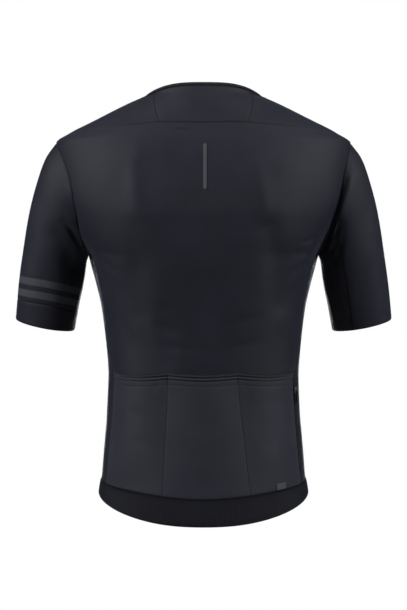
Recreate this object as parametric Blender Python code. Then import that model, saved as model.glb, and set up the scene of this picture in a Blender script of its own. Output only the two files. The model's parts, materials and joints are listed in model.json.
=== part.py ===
"""A men's short-sleeved cycling jersey in the hollow form it has when worn.

The body is one smooth surface, a stack of rounded sections from the hem to the neck, and each sleeve is a
stack of rings from its armhole to its cuff. Seams are curves on those surfaces, and every sewn piece is a
thin wall between its own seams. The wearer faces +Y, so the back looks towards -Y and the wearer's left is
at -X. The origin is in the middle of the neck opening, level with the top of the shoulders.

Sizes are in millimetres. Directions round the body are in degrees from the centre back, and directions
round an armhole or a sleeve are in degrees from its top, by way of the back.
"""
import math

import bmesh
import bpy
import numpy as np
from mathutils import Matrix

MM = 0.001
LEFT, RIGHT = -1, 1
SIDE_NAMES = {LEFT: "left", RIGHT: "right"}

# Cloth
WALL = 1.2
SEAM_GAP = 0.3
BAND_WALL = 1.8
BAND_PROUD = 1.4
POCKET_WALL = 1.0
BINDING_WALL = 2.0
BINDING_PROUD = 0.5
BINDING_WIDTH = 5.0

# The body's sections, hem to neck.
# height, half width, depth of the back, depth of the front, squareness (2 is an ellipse)
BODY_SECTIONS = (
    (-670.0, 162.0, 115.0, 107.0, 2.30),
    (-608.0, 160.0, 114.5, 107.5, 2.30),
    (-584.0, 156.5, 112.5, 107.0, 2.30),
    (-556.0, 154.0, 110.0, 106.0, 2.30),
    (-519.0, 151.0, 106.0, 104.0, 2.28),
    (-482.0, 148.3, 102.0, 101.5, 2.26),
    (-428.0, 146.4, 98.5, 99.5, 2.25),
    (-390.0, 148.8, 99.5, 101.0, 2.25),
    (-325.0, 156.8, 107.0, 108.0, 2.27),
    (-288.0, 165.0, 112.0, 113.0, 2.28),
    (-260.0, 172.5, 115.5, 116.5, 2.30),
    (-245.0, 177.0, 117.0, 118.0, 2.30),
    (-235.0, 184.0, 117.8, 119.0, 2.30),
    (-216.0, 196.0, 118.5, 120.0, 2.30),
    (-188.0, 210.0, 118.5, 119.5, 2.30),
    (-158.0, 221.0, 116.0, 116.0, 2.30),
    (-131.0, 226.0, 112.0, 110.0, 2.30),
    (-97.0, 228.0, 105.0, 99.0, 2.30),
    (-71.6, 226.5, 97.5, 89.0, 2.25),
    (-57.0, 206.0, 91.5, 83.0, 2.22),
    (-38.5, 171.0, 84.0, 76.0, 2.20),
    (-20.0, 134.0, 77.0, 70.0, 2.15),
    (-4.6, 101.2, 70.0, 65.5, 2.10),
    (0.0, 89.8, 67.0, 64.0, 2.10),
    (25.0, 82.0, 57.0, 60.0, 2.05),
)

# Neck and hem edges
NECK_RISE = 16.3
NECK_DROP = 82.0
NECK_SQUARENESS = 3.6
NECK_HALF_WIDTH, NECK_BACK_DEPTH = 91.0, 67.0
HEM_TOP, HEM_BOTTOM = -586.5, -608.0
HEM_TOP_TAIL, HEM_BOTTOM_TAIL = 23.0, 42.0
HEM_FRONT_RISE = 25.0

# Armholes: top and bottom heights, and how far each reaches behind and before the shoulder line
ARMHOLE_TOP, ARMHOLE_BOTTOM = -71.6, -245.0
ARMHOLE_BACK = {LEFT: 62.0, RIGHT: 51.0}
ARMHOLE_FRONT = {LEFT: 50.0, RIGHT: 60.0}
ARMHOLE_STEPS = 32

# Where the seams meet an armhole, in steps round it
BACK_SEAM_STEP = 15
FRONT_SEAM_STEP = 18
YOKE_STEP = 30

# Seams on the right half of the body: degrees from the centre back, height
YOKE_SEAM = ((38.4, -45.5), (55.5, -49.0), (66.1, -52.0), (76.3, -53.5), (90.0, -54.0))
NECK_PANEL_SIDE = ((62.8, -3.2), (49.7, -15.4), (38.4, -45.5))
BACK_SIDE_SEAM = ((71.5, -600.0), (71.7, -421.5), (76.8, -405.0), (79.8, -388.0), (84.0, -330.0))
FRONT_SIDE_SEAM_DIRECTION = 107.0
NECK_LINE_DIRECTION = 62.8

# Pockets: the slanting dividers' directions at the hem and at the mouth
POCKET_MOUTH = -421.5
DIVIDERS_AT_HEM = (-29.0, 33.0)
DIVIDERS_AT_MOUTH = (-29.5, 28.0)
POCKET_DEPTH = 9.0
POCKET_SAG = 3.0

# Sleeve rings after the armhole, armhole to cuff.
# place along the sleeve, outer edge (x, z), inner edge (x, z), half depth, middle (y), dip of the back
SLEEVE_RINGS = (
    (0.088, 242.5, -94.0, 179.8, -252.0, 60.0, 1.0, 0.0),
    (0.195, 254.3, -124.0, 181.3, -261.0, 60.0, 3.0, 0.5),
    (0.326, 264.5, -160.0, 183.3, -276.0, 58.5, 6.0, 1.0),
    (0.480, 272.9, -200.0, 187.0, -296.0, 56.5, 10.0, 2.0),
    (0.647, 280.3, -245.0, 191.6, -316.0, 54.0, 15.0, 3.5),
    (0.820, 287.0, -293.0, 195.6, -337.0, 51.5, 21.0, 5.0),
    (1.000, 292.0, -341.0, 199.8, -359.0, 49.5, 28.0, 6.5),
)
CUFF_SEAM_OUTER, CUFF_SEAM_INNER = 0.885, 0.760
UNDERARM_STEPS = {LEFT: (13, 25), RIGHT: (10, 22)}

# The largest folds and swells of the cloth.
# from (x, z), to (x, z), height out of the cloth, half width, which half (back -1, front 1)
FOLDS = (
    (-118.0, -118.0, -96.0, -185.0, 4.0, 42.0, -1),
    (120.0, -125.0, 98.0, -190.0, 4.0, 42.0, -1),
    (0.0, -120.0, 0.0, -330.0, -3.0, 34.0, -1),
    (-104.0, -270.0, -92.0, -330.0, -2.5, 18.0, -1),
    (98.0, -205.0, 118.0, -320.0, -2.5, 18.0, -1),
    (-60.0, -330.0, -52.0, -400.0, -1.5, 14.0, -1),
    (-214.0, -192.0, -182.0, -232.0, 5.0, 12.0, -1),
    (-222.0, -212.0, -198.0, -262.0, -4.5, 16.0, -1),
    (205.0, -198.0, 192.0, -236.0, -3.0, 9.0, -1),
    (-66.0, -140.0, -92.0, -200.0, 3.5, 44.0, 1),
    (66.0, -140.0, 92.0, -200.0, 3.5, 44.0, 1),
    (-110.0, -262.0, -60.0, -300.0, -2.5, 18.0, 1),
    (112.0, -268.0, 58.0, -312.0, -2.5, 18.0, 1),
)

# Grid steps of the pieces
LOW_ROWS = (0.0, 0.10, 0.28, 0.46, 0.64, 0.82, 0.95, 1.0)
MIDDLE_ROWS = 7
CHEST_ROWS, NECK_ROWS, NECK_SIDE_ROWS = 4, 6, 2
FRONT_COLUMNS = 9
NECK_COLUMNS = 8
BAND_ROWS = 2
SLEEVE_ROWS = 11

# Zips
ZIP_HALF = 5.5
SIDE_ZIP_ROWS = (1, 6)
SIDE_ZIP_COLUMNS = (0.03, 0.24)
BRIDGE_HOLE, BRIDGE_BAR, BRIDGE_WIDTH = 2.2, 1.0, 1.8
SLIDER_PLATE, PULL_PLATE = 1.8, 0.9
# direction, height, how proud the tape is, half width, length, pull's half width, pull's length
FRONT_SLIDER = (180.0, -99.0, 0.2, 4.2, 12.0, 3.2, 24.0)
SIDE_SLIDER = (73.3, -449.0, 1.5, 2.9, 9.0, 2.4, 20.0)

# Trims
STRIP_WIDTH, STRIP_TOP, STRIP_BOTTOM, STRIP_PLACE = 5.6, -79.5, -148.0, 2.0
TAB_WIDTH, TAB_HEIGHT, TAB_DIRECTION, TAB_REACH = 15.7, 10.0, 53.6, 142.0
TRIM_GAP, TRIM_WALL = 0.45, 0.5

FINISHES = {
    # name: colour, roughness, metallic
    "body cloth": ((0.012, 0.012, 0.015), 0.72, 0.0),
    "pocket cloth": ((0.022, 0.022, 0.026), 0.55, 0.0),
    "gripper elastic": ((0.009, 0.009, 0.011), 0.80, 0.0),
    "binding": ((0.010, 0.010, 0.013), 0.70, 0.0),
    "zip tape": ((0.008, 0.008, 0.010), 0.60, 0.0),
    "zip metal": ((0.030, 0.030, 0.034), 0.35, 0.9),
    "reflective film": ((0.070, 0.070, 0.075), 0.40, 0.0),
}


# ---------------------------------------------------------------- curves and surfaces

def smooth(knots, values, at):
    """A smooth curve through the rows of a table, which never swings past them."""
    knots, values, at = np.asarray(knots, float), np.asarray(values, float), np.asarray(at, float)
    flat = (-1,) + (1,) * (values.ndim - 1)
    rise = np.diff(values, axis=0) / np.diff(knots).reshape(flat)
    before, after = rise[:-1], rise[1:]
    agree = before * after > 0
    inner = np.where(agree, 2 * before * after / np.where(agree, before + after, 1.0), 0.0)
    slopes = np.concatenate([rise[:1], inner, rise[-1:]])
    low = np.clip(np.searchsorted(knots, at, side="right") - 1, 0, len(knots) - 2)
    wide = at.shape + (1,) * (values.ndim - 1)
    width = (knots[low + 1] - knots[low]).reshape(wide)
    t = ((at - knots[low]) / (knots[low + 1] - knots[low])).reshape(wide)
    return (
        (1 + 2 * t) * (1 - t) ** 2 * values[low]
        + t * (1 - t) ** 2 * width * slopes[low]
        + t * t * (3 - 2 * t) * values[low + 1]
        + t * t * (t - 1) * width * slopes[low + 1]
    )


def unit(vectors):
    return vectors / np.maximum(np.linalg.norm(vectors, axis=-1, keepdims=True), 1e-12)


BODY = np.array(BODY_SECTIONS)


def body(direction, height):
    """The point of the body's surface in a direction (degrees from the centre back) at a height."""
    direction, height = np.broadcast_arrays(np.radians(direction), height)
    half, back, front, square = np.moveaxis(smooth(BODY[:, 0], BODY[:, 1:], height), -1, 0)
    forward, aside = np.cos(direction), np.sin(direction)
    depth = np.where(forward > 0, back, front)
    reach = ((np.abs(forward) / depth) ** square + (np.abs(aside) / half) ** square) ** (-1 / square)
    return np.stack([reach * aside, -reach * forward, height.astype(float)], axis=-1)


def body_normal(direction, height):
    round_it = body(direction + 0.2, height) - body(direction - 0.2, height)
    up_it = body(direction, height + 0.5) - body(direction, height - 0.5)
    return unit(np.cross(round_it, up_it))


def armhole(side, step):
    """Direction and height of the armhole seam at a step round it, from the top by way of the back."""
    angle = np.asarray(step, float) * 2 * math.pi / ARMHOLE_STEPS
    middle, reach = (ARMHOLE_TOP + ARMHOLE_BOTTOM) / 2, (ARMHOLE_TOP - ARMHOLE_BOTTOM) / 2
    height = middle + reach * np.cos(angle)
    half, back, front, square = np.moveaxis(smooth(BODY[:, 0], BODY[:, 1:], height), -1, 0)
    behind = np.sin(angle) > 0
    y = -np.sin(angle) * np.where(behind, ARMHOLE_BACK[side], ARMHOLE_FRONT[side])
    depth = np.where(behind, back, front)
    x = half * (1 - (np.abs(y) / depth) ** square) ** (1 / square)
    return np.stack([side * np.degrees(np.arctan2(x, -y)), height], axis=-1)


def sleeve(side, step, place):
    """Points of the sleeve's surface: armhole steps by places from 0, the armhole, to 1, the cuff's edge."""
    step, place = np.asarray(step, float), np.asarray(place, float)
    angle = step * 2 * math.pi / ARMHOLE_STEPS
    rings = [body(*np.moveaxis(armhole(side, step), -1, 0))]
    for _, outer_x, outer_z, inner_x, inner_z, depth, middle_y, dip in SLEEVE_RINGS:
        toward = np.cos(angle)
        x = (outer_x + inner_x) / 2 + toward * (outer_x - inner_x) / 2
        z = (outer_z + inner_z) / 2 + toward * (outer_z - inner_z) / 2 - dip * np.sin(angle)
        rings.append(np.stack([side * x, middle_y - depth * np.sin(angle), z], axis=-1))
    places = (0.0,) + tuple(row[0] for row in SLEEVE_RINGS)
    columns = [smooth(places, np.array(rings)[:, i], place[..., i]) for i in range(len(step))]
    return np.stack(columns, axis=-2)


def sleeve_normal(side, step, place):
    around = sleeve(side, step + 0.05, place) - sleeve(side, step - 0.05, place)
    near, far = np.clip(place - 0.01, 0, 1), np.clip(place + 0.01, 0, 1)
    down = sleeve(side, step, far) - sleeve(side, step, near)
    return side * unit(np.cross(around, down))


def armhole_normal(side, step):
    """Between the body's and the sleeve's, so that both walls end in one mitre at the seam."""
    step = np.asarray(step, float)
    on_sleeve = sleeve_normal(side, step, np.zeros((1, len(step))))[0]
    on_body = body_normal(*np.moveaxis(armhole(side, step), -1, 0))
    return unit(on_sleeve + on_body)


def fold_height(points):
    """How far the folds lift or sink the cloth at each point."""
    lift = np.zeros(points.shape[:-1])
    for x0, z0, x1, z1, height, half_width, half in FOLDS:
        start, line = np.array([x0, z0]), np.array([x1 - x0, z1 - z0])
        flat = points[..., [0, 2]] - start
        along = np.clip(flat @ line / (line @ line), 0, 1)
        away = np.linalg.norm(flat - along[..., None] * line, axis=-1) / half_width
        on_half = np.clip(points[..., 1] * half / 30.0, 0, 1)
        lift += height * np.exp(-away ** 2) * on_half
    return lift


# ---------------------------------------------------------------- edges and seams on the body

def neck_edge(direction):
    """Height of the neck's edge in each direction."""
    angle = np.radians(np.abs(direction))
    slant = NECK_HALF_WIDTH / NECK_BACK_DEPTH / np.maximum(np.tan(np.minimum(angle, 1.57)), 1e-6)
    behind = 1 / np.sqrt(1 + slant ** 2)
    fall = np.clip((1 - np.cos(2 * angle - math.pi)) / 2, 0, 1) ** 1.2
    back_height = NECK_RISE * (1 - behind ** NECK_SQUARENESS)
    return np.where(angle < math.pi / 2, back_height, -NECK_DROP * fall)


def binding_edge(direction):
    """Height of the binding's lower edge, its width down the cloth from the neck's edge."""
    top = neck_edge(direction)
    stretch = np.linalg.norm(body(direction, top) - body(direction, top - 1.0), axis=-1)
    return top - BINDING_WIDTH / stretch


def hem_top(direction):
    """The hem band's seam: it drops to a tail behind and rises a little before."""
    forward = np.cos(np.radians(direction))
    drop = HEM_TOP_TAIL * np.maximum(forward, 0) ** 1.5
    return HEM_TOP - drop + HEM_FRONT_RISE * np.maximum(-forward, 0)


def hem_bottom(direction):
    """The bottom edge: its tail is fuller than the seam above, and turns up close to the sides."""
    forward = np.cos(np.radians(direction))
    behind = np.maximum(forward, 0)
    drop = HEM_BOTTOM_TAIL * behind * (0.45 + 0.55 * behind * (3 - 2 * behind))
    return HEM_BOTTOM - drop + HEM_FRONT_RISE * np.maximum(-forward, 0)


def zip_direction(height):
    """Direction of the front's edge beside the zip."""
    front = smooth(BODY[:, 0], BODY[:, 3], height)
    return 180.0 - np.degrees(ZIP_HALF / front)


def along(knots, steps):
    """Even steps along a seam through its knots (direction, height), ends included."""
    knots = np.array(knots, float)
    spans = np.linalg.norm(np.diff(body(knots[:, 0], knots[:, 1]), axis=0), axis=-1)
    length = np.concatenate([[0.0], np.cumsum(spans)])
    return smooth(length, knots, np.linspace(0.0, length[-1], steps + 1))


def chain(*runs):
    """Runs of points joined end to end, each shared point once."""
    return np.concatenate([runs[0]] + [run[1:] for run in runs[1:]])


def mirrored(points, side):
    return points * np.array([side, 1.0])


def patch(bottom, top, left, right, ease=1.0):
    """A grid of (direction, height) between its four edges. A high ease keeps the side edges' turns local."""
    u = np.linspace(0, 1, len(bottom))[None, :, None]
    v = np.linspace(0, 1, len(left))[:, None, None]
    across = (1 - v) * bottom[None] + v * top[None]
    left_turn = left[:, None] - (1 - v) * bottom[0] - v * top[0]
    right_turn = right[:, None] - (1 - v) * bottom[-1] - v * top[-1]
    return across + (1 - u) ** ease * left_turn + u ** ease * right_turn


def side_seam(side, at_hem, at_mouth, middle, corner):
    """A seam from the hem to an armhole: its lower rows run straight, its middle rows through knots."""
    low_height = hem_top(at_hem) + (POCKET_MOUTH - hem_top(at_hem)) * np.array(LOW_ROWS)
    low_direction = at_hem + (at_mouth - at_hem) * np.array(LOW_ROWS)
    low = np.stack([low_direction, low_height], axis=-1)
    knots = [(at_mouth, POCKET_MOUTH), *middle, tuple(corner * np.array([side, 1.0]))]
    return mirrored(chain(low, along(knots, MIDDLE_ROWS)), side)


def back_seam(side):
    hem, mouth = BACK_SIDE_SEAM[0][0], BACK_SIDE_SEAM[1][0]
    return side_seam(side, hem, mouth, BACK_SIDE_SEAM[2:], armhole(side, BACK_SEAM_STEP))


def front_seam(side):
    direction = FRONT_SIDE_SEAM_DIRECTION
    return side_seam(side, direction, direction, (), armhole(side, FRONT_SEAM_STEP))


def yoke_seam(side):
    """From the neck panel's corner over the shoulder to the armhole's front."""
    corner = armhole(side, YOKE_STEP) * np.array([side, 1.0])
    return mirrored(along((*YOKE_SEAM, tuple(corner)), FRONT_COLUMNS), side)


def neck_line(side):
    """Under the binding, from the zip round to the neck panel."""
    start = float(zip_direction(-NECK_DROP))
    directions = np.linspace(start, NECK_LINE_DIRECTION, NECK_ROWS + 1)
    return mirrored(np.stack([directions, binding_edge(directions)], axis=-1), side)


def neck_panel_side(side):
    start = (NECK_LINE_DIRECTION, float(binding_edge(NECK_LINE_DIRECTION)))
    return mirrored(along((start, *NECK_PANEL_SIDE[1:]), NECK_SIDE_ROWS), side)


def centre_front(side):
    """The front's edge beside the zip, from the hem band to the binding."""
    hem = float(hem_top(180.0))
    low = hem + (POCKET_MOUTH - hem) * np.array(LOW_ROWS)
    middle = np.linspace(POCKET_MOUTH, armhole(side, FRONT_SEAM_STEP)[1], MIDDLE_ROWS + 1)
    chest = np.linspace(middle[-1], neck_line(RIGHT)[0, 1], CHEST_ROWS + 1)
    height = np.concatenate([low, middle[1:], chest[1:]])
    return mirrored(np.stack([zip_direction(height), height], axis=-1), side)


def shared_row(start, end, columns, height_at):
    directions = np.linspace(start, end, columns + 1)
    return np.stack([directions, height_at(directions)], axis=-1)


# ---------------------------------------------------------------- making solids

def material(name, finish):
    colour, roughness, metallic = FINISHES[finish]
    made = bpy.data.materials.new(name)
    made.use_nodes = True
    shader = made.node_tree.nodes["Principled BSDF"]
    shader.inputs["Base Color"].default_value = (*colour, 1.0)
    shader.inputs["Roughness"].default_value = roughness
    shader.inputs["Metallic"].default_value = metallic
    return made


def add_object(name, points, faces, finish):
    mesh = bpy.data.meshes.new(name)
    mesh.from_pydata([tuple(point) for point in np.asarray(points) * MM], [], faces)
    mesh.materials.append(material(name, finish))
    mesh.shade_smooth()
    mesh.set_sharp_from_angle(angle=math.radians(50))
    made = bpy.data.objects.new(name, mesh)
    bpy.context.collection.objects.link(made)
    return made


def inward(edge, inner):
    """Unit steps from an edge to the line of points inside it, square to the edge."""
    way, step = unit(np.gradient(edge, axis=0)), inner - edge
    return unit(step - np.sum(step * way, axis=-1, keepdims=True) * way)


def trimmed(points, closed=False):
    """The grid drawn in by half a seam gap along each free edge."""
    points = points.copy()
    half = SEAM_GAP / 2
    for edge, inner in ((0, 1), (-1, -2)):
        points[edge] += inward(points[edge], points[inner]) * half
        if not closed:
            points[:, edge] += inward(points[:, edge], points[:, inner]) * half
    return points


def cloth(name, points, normals, finish, wall=WALL, proud=0.0, closed=False):
    """A thin wall over a grid of points: its outer face stands proud of them, its inner lies inside."""
    points = trimmed(points, closed)
    outer, inner = points + normals * proud, points + normals * (proud - wall)
    rows, columns = points.shape[:2]
    cells = columns if closed else columns - 1

    count = rows * columns
    flat = points.reshape(-1, 3)
    rank = flat @ np.array([1.0, 2.0, 3.0])

    def at(row, column):
        return row * columns + column % columns

    def cell(a, b, c, d):
        """A cell's two triangles, cut along its shorter diagonal."""
        if np.linalg.norm(flat[a] - flat[c]) < np.linalg.norm(flat[b] - flat[d]):
            return [[a, b, c], [a, c, d]]
        return [[a, b, d], [b, c, d]]

    def end_wall(a, b):
        """Across the wall between two edge points, cut along the diagonal that the next piece's wall has."""
        if rank[a] > rank[b]:
            return [[a, b, count + b], [a, count + b, count + a]]
        return [[a, b, count + a], [b, count + b, count + a]]

    faces = []
    for row in range(rows - 1):
        for column in range(cells):
            corners = (row, column), (row, column + 1), (row + 1, column + 1), (row + 1, column)
            for face in cell(*(at(*corner) for corner in corners)):
                faces += [face, [count + i for i in face[::-1]]]
    for column in range(cells):
        faces += end_wall(at(0, column + 1), at(0, column))
        faces += end_wall(at(rows - 1, column), at(rows - 1, column + 1))
    if not closed:
        for row in range(rows - 1):
            faces += end_wall(at(row, 0), at(row + 1, 0))
            faces += end_wall(at(row + 1, columns - 1), at(row, columns - 1))
    facing = np.cross(points[:-1, 1:] - points[:-1, :-1], points[1:, :-1] - points[:-1, :-1])
    if np.sum(facing * normals[:-1, :-1]) < 0:
        faces = [face[::-1] for face in faces]
    return add_object(name, np.concatenate([outer.reshape(-1, 3), inner.reshape(-1, 3)]), faces, finish)


def body_grid(grid, mitres=()):
    """Points and normals of a grid on the body. A mitre is (side, rows, column or columns, armhole steps)."""
    direction, height = np.moveaxis(grid, -1, 0)
    points, normals = body(direction, height), body_normal(direction, height)
    for side, rows, columns, steps in mitres:
        normals[rows, columns] = armhole_normal(side, steps)
    return points + normals * fold_height(points)[..., None], normals


# ---------------------------------------------------------------- the body's pieces

LOW = len(LOW_ROWS) - 1
ARMPIT_ROW = LOW + MIDDLE_ROWS
BACK_COLUMNS = 2 * FRONT_COLUMNS + NECK_COLUMNS
DIVIDER_COLUMNS = (FRONT_COLUMNS, FRONT_COLUMNS + NECK_COLUMNS)


def back_rows():
    """The back panel's grid. Its lower rows follow the pockets' dividers, its upper ones the armholes."""
    left, right = back_seam(LEFT), back_seam(RIGHT)
    keys = (0, *DIVIDER_COLUMNS, BACK_COLUMNS)
    columns = np.arange(BACK_COLUMNS + 1)
    at_hem = np.interp(columns, keys, (left[0, 0], *DIVIDERS_AT_HEM, right[0, 0]))
    at_mouth = np.interp(columns, keys, (left[LOW, 0], *DIVIDERS_AT_MOUTH, right[LOW, 0]))
    share = np.array(LOW_ROWS)[:, None]
    directions = at_hem + (at_mouth - at_hem) * share
    heights = hem_top(at_hem) + (POCKET_MOUTH - hem_top(at_hem)) * share
    low = np.stack([directions, heights], axis=-1)
    over = np.arange(BACK_SEAM_STEP, YOKE_STEP - ARMHOLE_STEPS - 1, -1)
    left_edge = chain(left[LOW:], armhole(LEFT, over))
    right_edge = chain(right[LOW:], armhole(RIGHT, over))
    neck = shared_row(-YOKE_SEAM[0][0], YOKE_SEAM[0][0], NECK_COLUMNS, yoke_height)
    top = chain(yoke_seam(LEFT)[::-1], neck, yoke_seam(RIGHT))
    upper = patch(low[-1], top, left_edge, right_edge, ease=3.0)
    return np.concatenate([low, upper[1:]]), over


def yoke_height(direction):
    """The yoke seam under the neck panel, a little lower in the middle."""
    corner = YOKE_SEAM[0]
    return corner[1] - 1.5 * (1 - (np.abs(direction) / corner[0]) ** 2)


def make_back_panel():
    grid, over = back_rows()
    rows = np.arange(ARMPIT_ROW, len(grid))
    mitres = ((LEFT, rows, 0, over), (RIGHT, rows, -1, over))
    cloth("back_panel", *body_grid(grid, mitres), "body cloth")


def make_neck_panel():
    bottom = shared_row(-YOKE_SEAM[0][0], YOKE_SEAM[0][0], NECK_COLUMNS, yoke_height)
    top = shared_row(-NECK_LINE_DIRECTION, NECK_LINE_DIRECTION, NECK_COLUMNS, binding_edge)
    grid = patch(bottom, top, neck_panel_side(LEFT)[::-1], neck_panel_side(RIGHT)[::-1])
    cloth("neck_panel", *body_grid(grid), "body cloth")


def front_rows(side):
    """A front's grid, from the zip to the side seam and from the hem over the shoulder to the yoke seam."""
    middle = chain(centre_front(side), neck_line(side), neck_panel_side(side))
    over = np.arange(FRONT_SEAM_STEP, YOKE_STEP + 1)
    outer = chain(front_seam(side), armhole(side, over))
    bottom = shared_row(middle[0, 0], outer[0, 0], FRONT_COLUMNS, hem_top)
    return patch(bottom, yoke_seam(side), middle, outer), over


def make_front(side):
    grid, over = front_rows(side)
    rows = np.arange(ARMPIT_ROW, len(grid))
    mitres = ((side, rows, -1, over),)
    cloth(f"front_{SIDE_NAMES[side]}", *body_grid(grid, mitres), "body cloth")


def side_rows(side):
    behind, before = back_seam(side), front_seam(side)
    steps = np.arange(BACK_SEAM_STEP, FRONT_SEAM_STEP + 1)
    bottom = shared_row(behind[0, 0], before[0, 0], len(steps) - 1, hem_top)
    return patch(bottom, armhole(side, steps), behind, before), steps


def make_side_panel(side):
    grid, steps = side_rows(side)
    columns = np.arange(len(steps))
    cloth(f"side_{SIDE_NAMES[side]}", *body_grid(grid, ((side, -1, columns, steps),)), "body cloth")


def hem_directions():
    """The hem's directions from the left front's zip edge round the back to the right front's."""
    back = back_rows()[0][0, :, 0]
    right = chain(side_rows(RIGHT)[0][0, :, 0], front_rows(RIGHT)[0][0, ::-1, 0])
    left = chain(side_rows(LEFT)[0][0, :, 0], front_rows(LEFT)[0][0, ::-1, 0])
    return chain(left[::-1], back, right)


def make_hem_band():
    direction = hem_directions()[None]
    share = np.linspace(0, 1, BAND_ROWS + 1)[:, None]
    height = hem_bottom(direction) + (hem_top(direction) - hem_bottom(direction)) * share
    grid = np.stack([np.broadcast_to(direction, height.shape), height], axis=-1)
    cloth("hem_band", *body_grid(grid), "gripper elastic", wall=BAND_WALL, proud=BAND_PROUD)


def make_neck_binding():
    behind = np.linspace(-NECK_LINE_DIRECTION, NECK_LINE_DIRECTION, NECK_COLUMNS + 1)
    direction = chain(neck_line(LEFT)[:, 0], behind, neck_line(RIGHT)[::-1, 0])
    height = np.stack([binding_edge(direction), neck_edge(direction)])
    grid = np.stack([np.broadcast_to(direction, height.shape), height], axis=-1)
    cloth("neck_binding", *body_grid(grid), "binding", wall=BINDING_WALL, proud=BINDING_PROUD)


# ---------------------------------------------------------------- pockets

def pocket_surface(number):
    """Points and normals of a pocket's inner face: the panel's own lower grid, moved out to hold things."""
    ends = (0, *DIVIDER_COLUMNS, BACK_COLUMNS)
    grid = back_rows()[0][: LOW + 1, ends[number]: ends[number + 1] + 1]
    points, normals = body_grid(grid)
    u = np.linspace(0, 1, grid.shape[1])
    v = np.array(LOW_ROWS)[:, None]
    fullness = np.sin(math.pi * u) ** 0.8 * np.sin(math.pi / 2 * v) ** 0.8
    points = points + normals * (SEAM_GAP + POCKET_DEPTH * fullness)[..., None]
    points[-1, :, 2] -= POCKET_SAG * np.sin(math.pi * u)
    return points, normals


def make_pocket(number, name):
    points, normals = pocket_surface(number)
    cloth(f"pocket_{name}", points, normals, "pocket cloth", wall=POCKET_WALL, proud=POCKET_WALL)


# ---------------------------------------------------------------- sleeves

def sleeve_places(steps, first, last, rows):
    """Places down the sleeve, row by row. A cuff seam lies the cuff's width above the edge all round."""
    angle = np.asarray(steps, float) * 2 * math.pi / ARMHOLE_STEPS
    seam = CUFF_SEAM_INNER + (CUFF_SEAM_OUTER - CUFF_SEAM_INNER) * (1 + np.cos(angle)) / 2
    ends = {"armhole": np.zeros(len(angle)), "cuff seam": seam, "edge": np.ones(len(angle))}
    share = np.linspace(0, 1, rows + 1)[:, None]
    return ends[first] + (ends[last] - ends[first]) * share


def make_sleeve_piece(name, side, steps, first, last, rows, closed=False):
    steps = np.asarray(steps, float)
    places = sleeve_places(steps, first, last, rows)
    points, normals = sleeve(side, steps, places), sleeve_normal(side, steps, places)
    if first == "armhole":
        normals[0] = armhole_normal(side, steps)
    points = points + normals * fold_height(points)[..., None]
    cloth(name, points, normals, "body cloth", closed=closed)


def make_sleeve(side):
    name = SIDE_NAMES[side]
    behind, before = UNDERARM_STEPS[side]
    last = "cuff seam" if side == LEFT else "edge"
    upper = np.arange(before - ARMHOLE_STEPS, behind + 1)
    make_sleeve_piece(f"sleeve_{name}", side, upper, "armhole", last, SLEEVE_ROWS)
    make_sleeve_piece(f"underarm_{name}", side, np.arange(behind, before + 1), "armhole", last, SLEEVE_ROWS)
    if side == LEFT:
        around = np.arange(ARMHOLE_STEPS)
        make_sleeve_piece(f"cuff_{name}", side, around, "cuff seam", "edge", 2, closed=True)


# ---------------------------------------------------------------- zips and trims

def make_front_zip_tape():
    """The closed zip's two tapes and its teeth as one strip, from the hem's edge to the neck's."""
    heights = np.concatenate([
        [float(hem_bottom(180.0))], centre_front(RIGHT)[:, 1], [-NECK_DROP],
    ])
    across = np.degrees(ZIP_HALF / smooth(BODY[:, 0], BODY[:, 3], heights))
    grid = np.stack([
        np.stack([180.0 - across, heights], axis=-1),
        np.stack([180.0 + across, heights], axis=-1),
    ], axis=1)
    cloth("front_zip_tape", *body_grid(grid), "zip tape", wall=1.6, proud=0.2)


def make_side_zip_tape():
    """A narrow zip beside the pocket's seam, lying on the right side panel."""
    points, normals = body_grid(side_rows(RIGHT)[0])
    rows = slice(SIDE_ZIP_ROWS[0], SIDE_ZIP_ROWS[1] + 1)
    strip, out = [], []
    for share in SIDE_ZIP_COLUMNS:
        strip.append(points[rows, 0] * (1 - share) + points[rows, 1] * share)
        out.append(unit(normals[rows, 0] * (1 - share) + normals[rows, 1] * share))
    points, normals = np.stack(strip, axis=1), np.stack(out, axis=1)
    cloth("side_zip_tape", points + normals * SEAM_GAP, normals, "zip tape", wall=1.2, proud=1.2)


def add_solid(name, points, faces, finish):
    """A small closed solid, its faces turned outwards."""
    made = add_object(name, points, faces, finish)
    shape = bmesh.new()
    shape.from_mesh(made.data)
    bmesh.ops.recalc_face_normals(shape, faces=shape.faces)
    shape.to_mesh(made.data)
    shape.free()
    return made


def prism(name, outline, low, high, finish):
    """An outline in the plane (across, up), made solid from low to high along the way into the cloth."""
    count = len(outline)
    points = [(x, low, z) for x, z in outline] + [(x, high, z) for x, z in outline]
    sides = [[i, (i + 1) % count, count + (i + 1) % count, count + i] for i in range(count)]
    ends = [list(range(count)), list(range(count, 2 * count))]
    return add_solid(name, points, sides + ends, finish)


def staple(name, reach, bar, foot, half_width, finish):
    """A slider's bridge: a bar on two legs, which stand in the slider's plate."""
    hole = reach - bar
    profile = [(-reach, foot), (-reach, -reach), (reach, -reach), (reach, foot),
               (hole, foot), (hole, -hole), (-hole, -hole), (-hole, foot)]
    count = len(profile)
    points = [(-half_width, y, z) for z, y in profile] + [(half_width, y, z) for z, y in profile]
    sides = [[i, (i + 1) % count, count + (i + 1) % count, count + i] for i in range(count)]
    limbs = [[0, 1, 6, 7], [1, 2, 5, 6], [2, 3, 4, 5]]
    ends = limbs + [[count + i for i in limb] for limb in limbs]
    return add_solid(name, points, sides + ends, finish)


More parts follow.
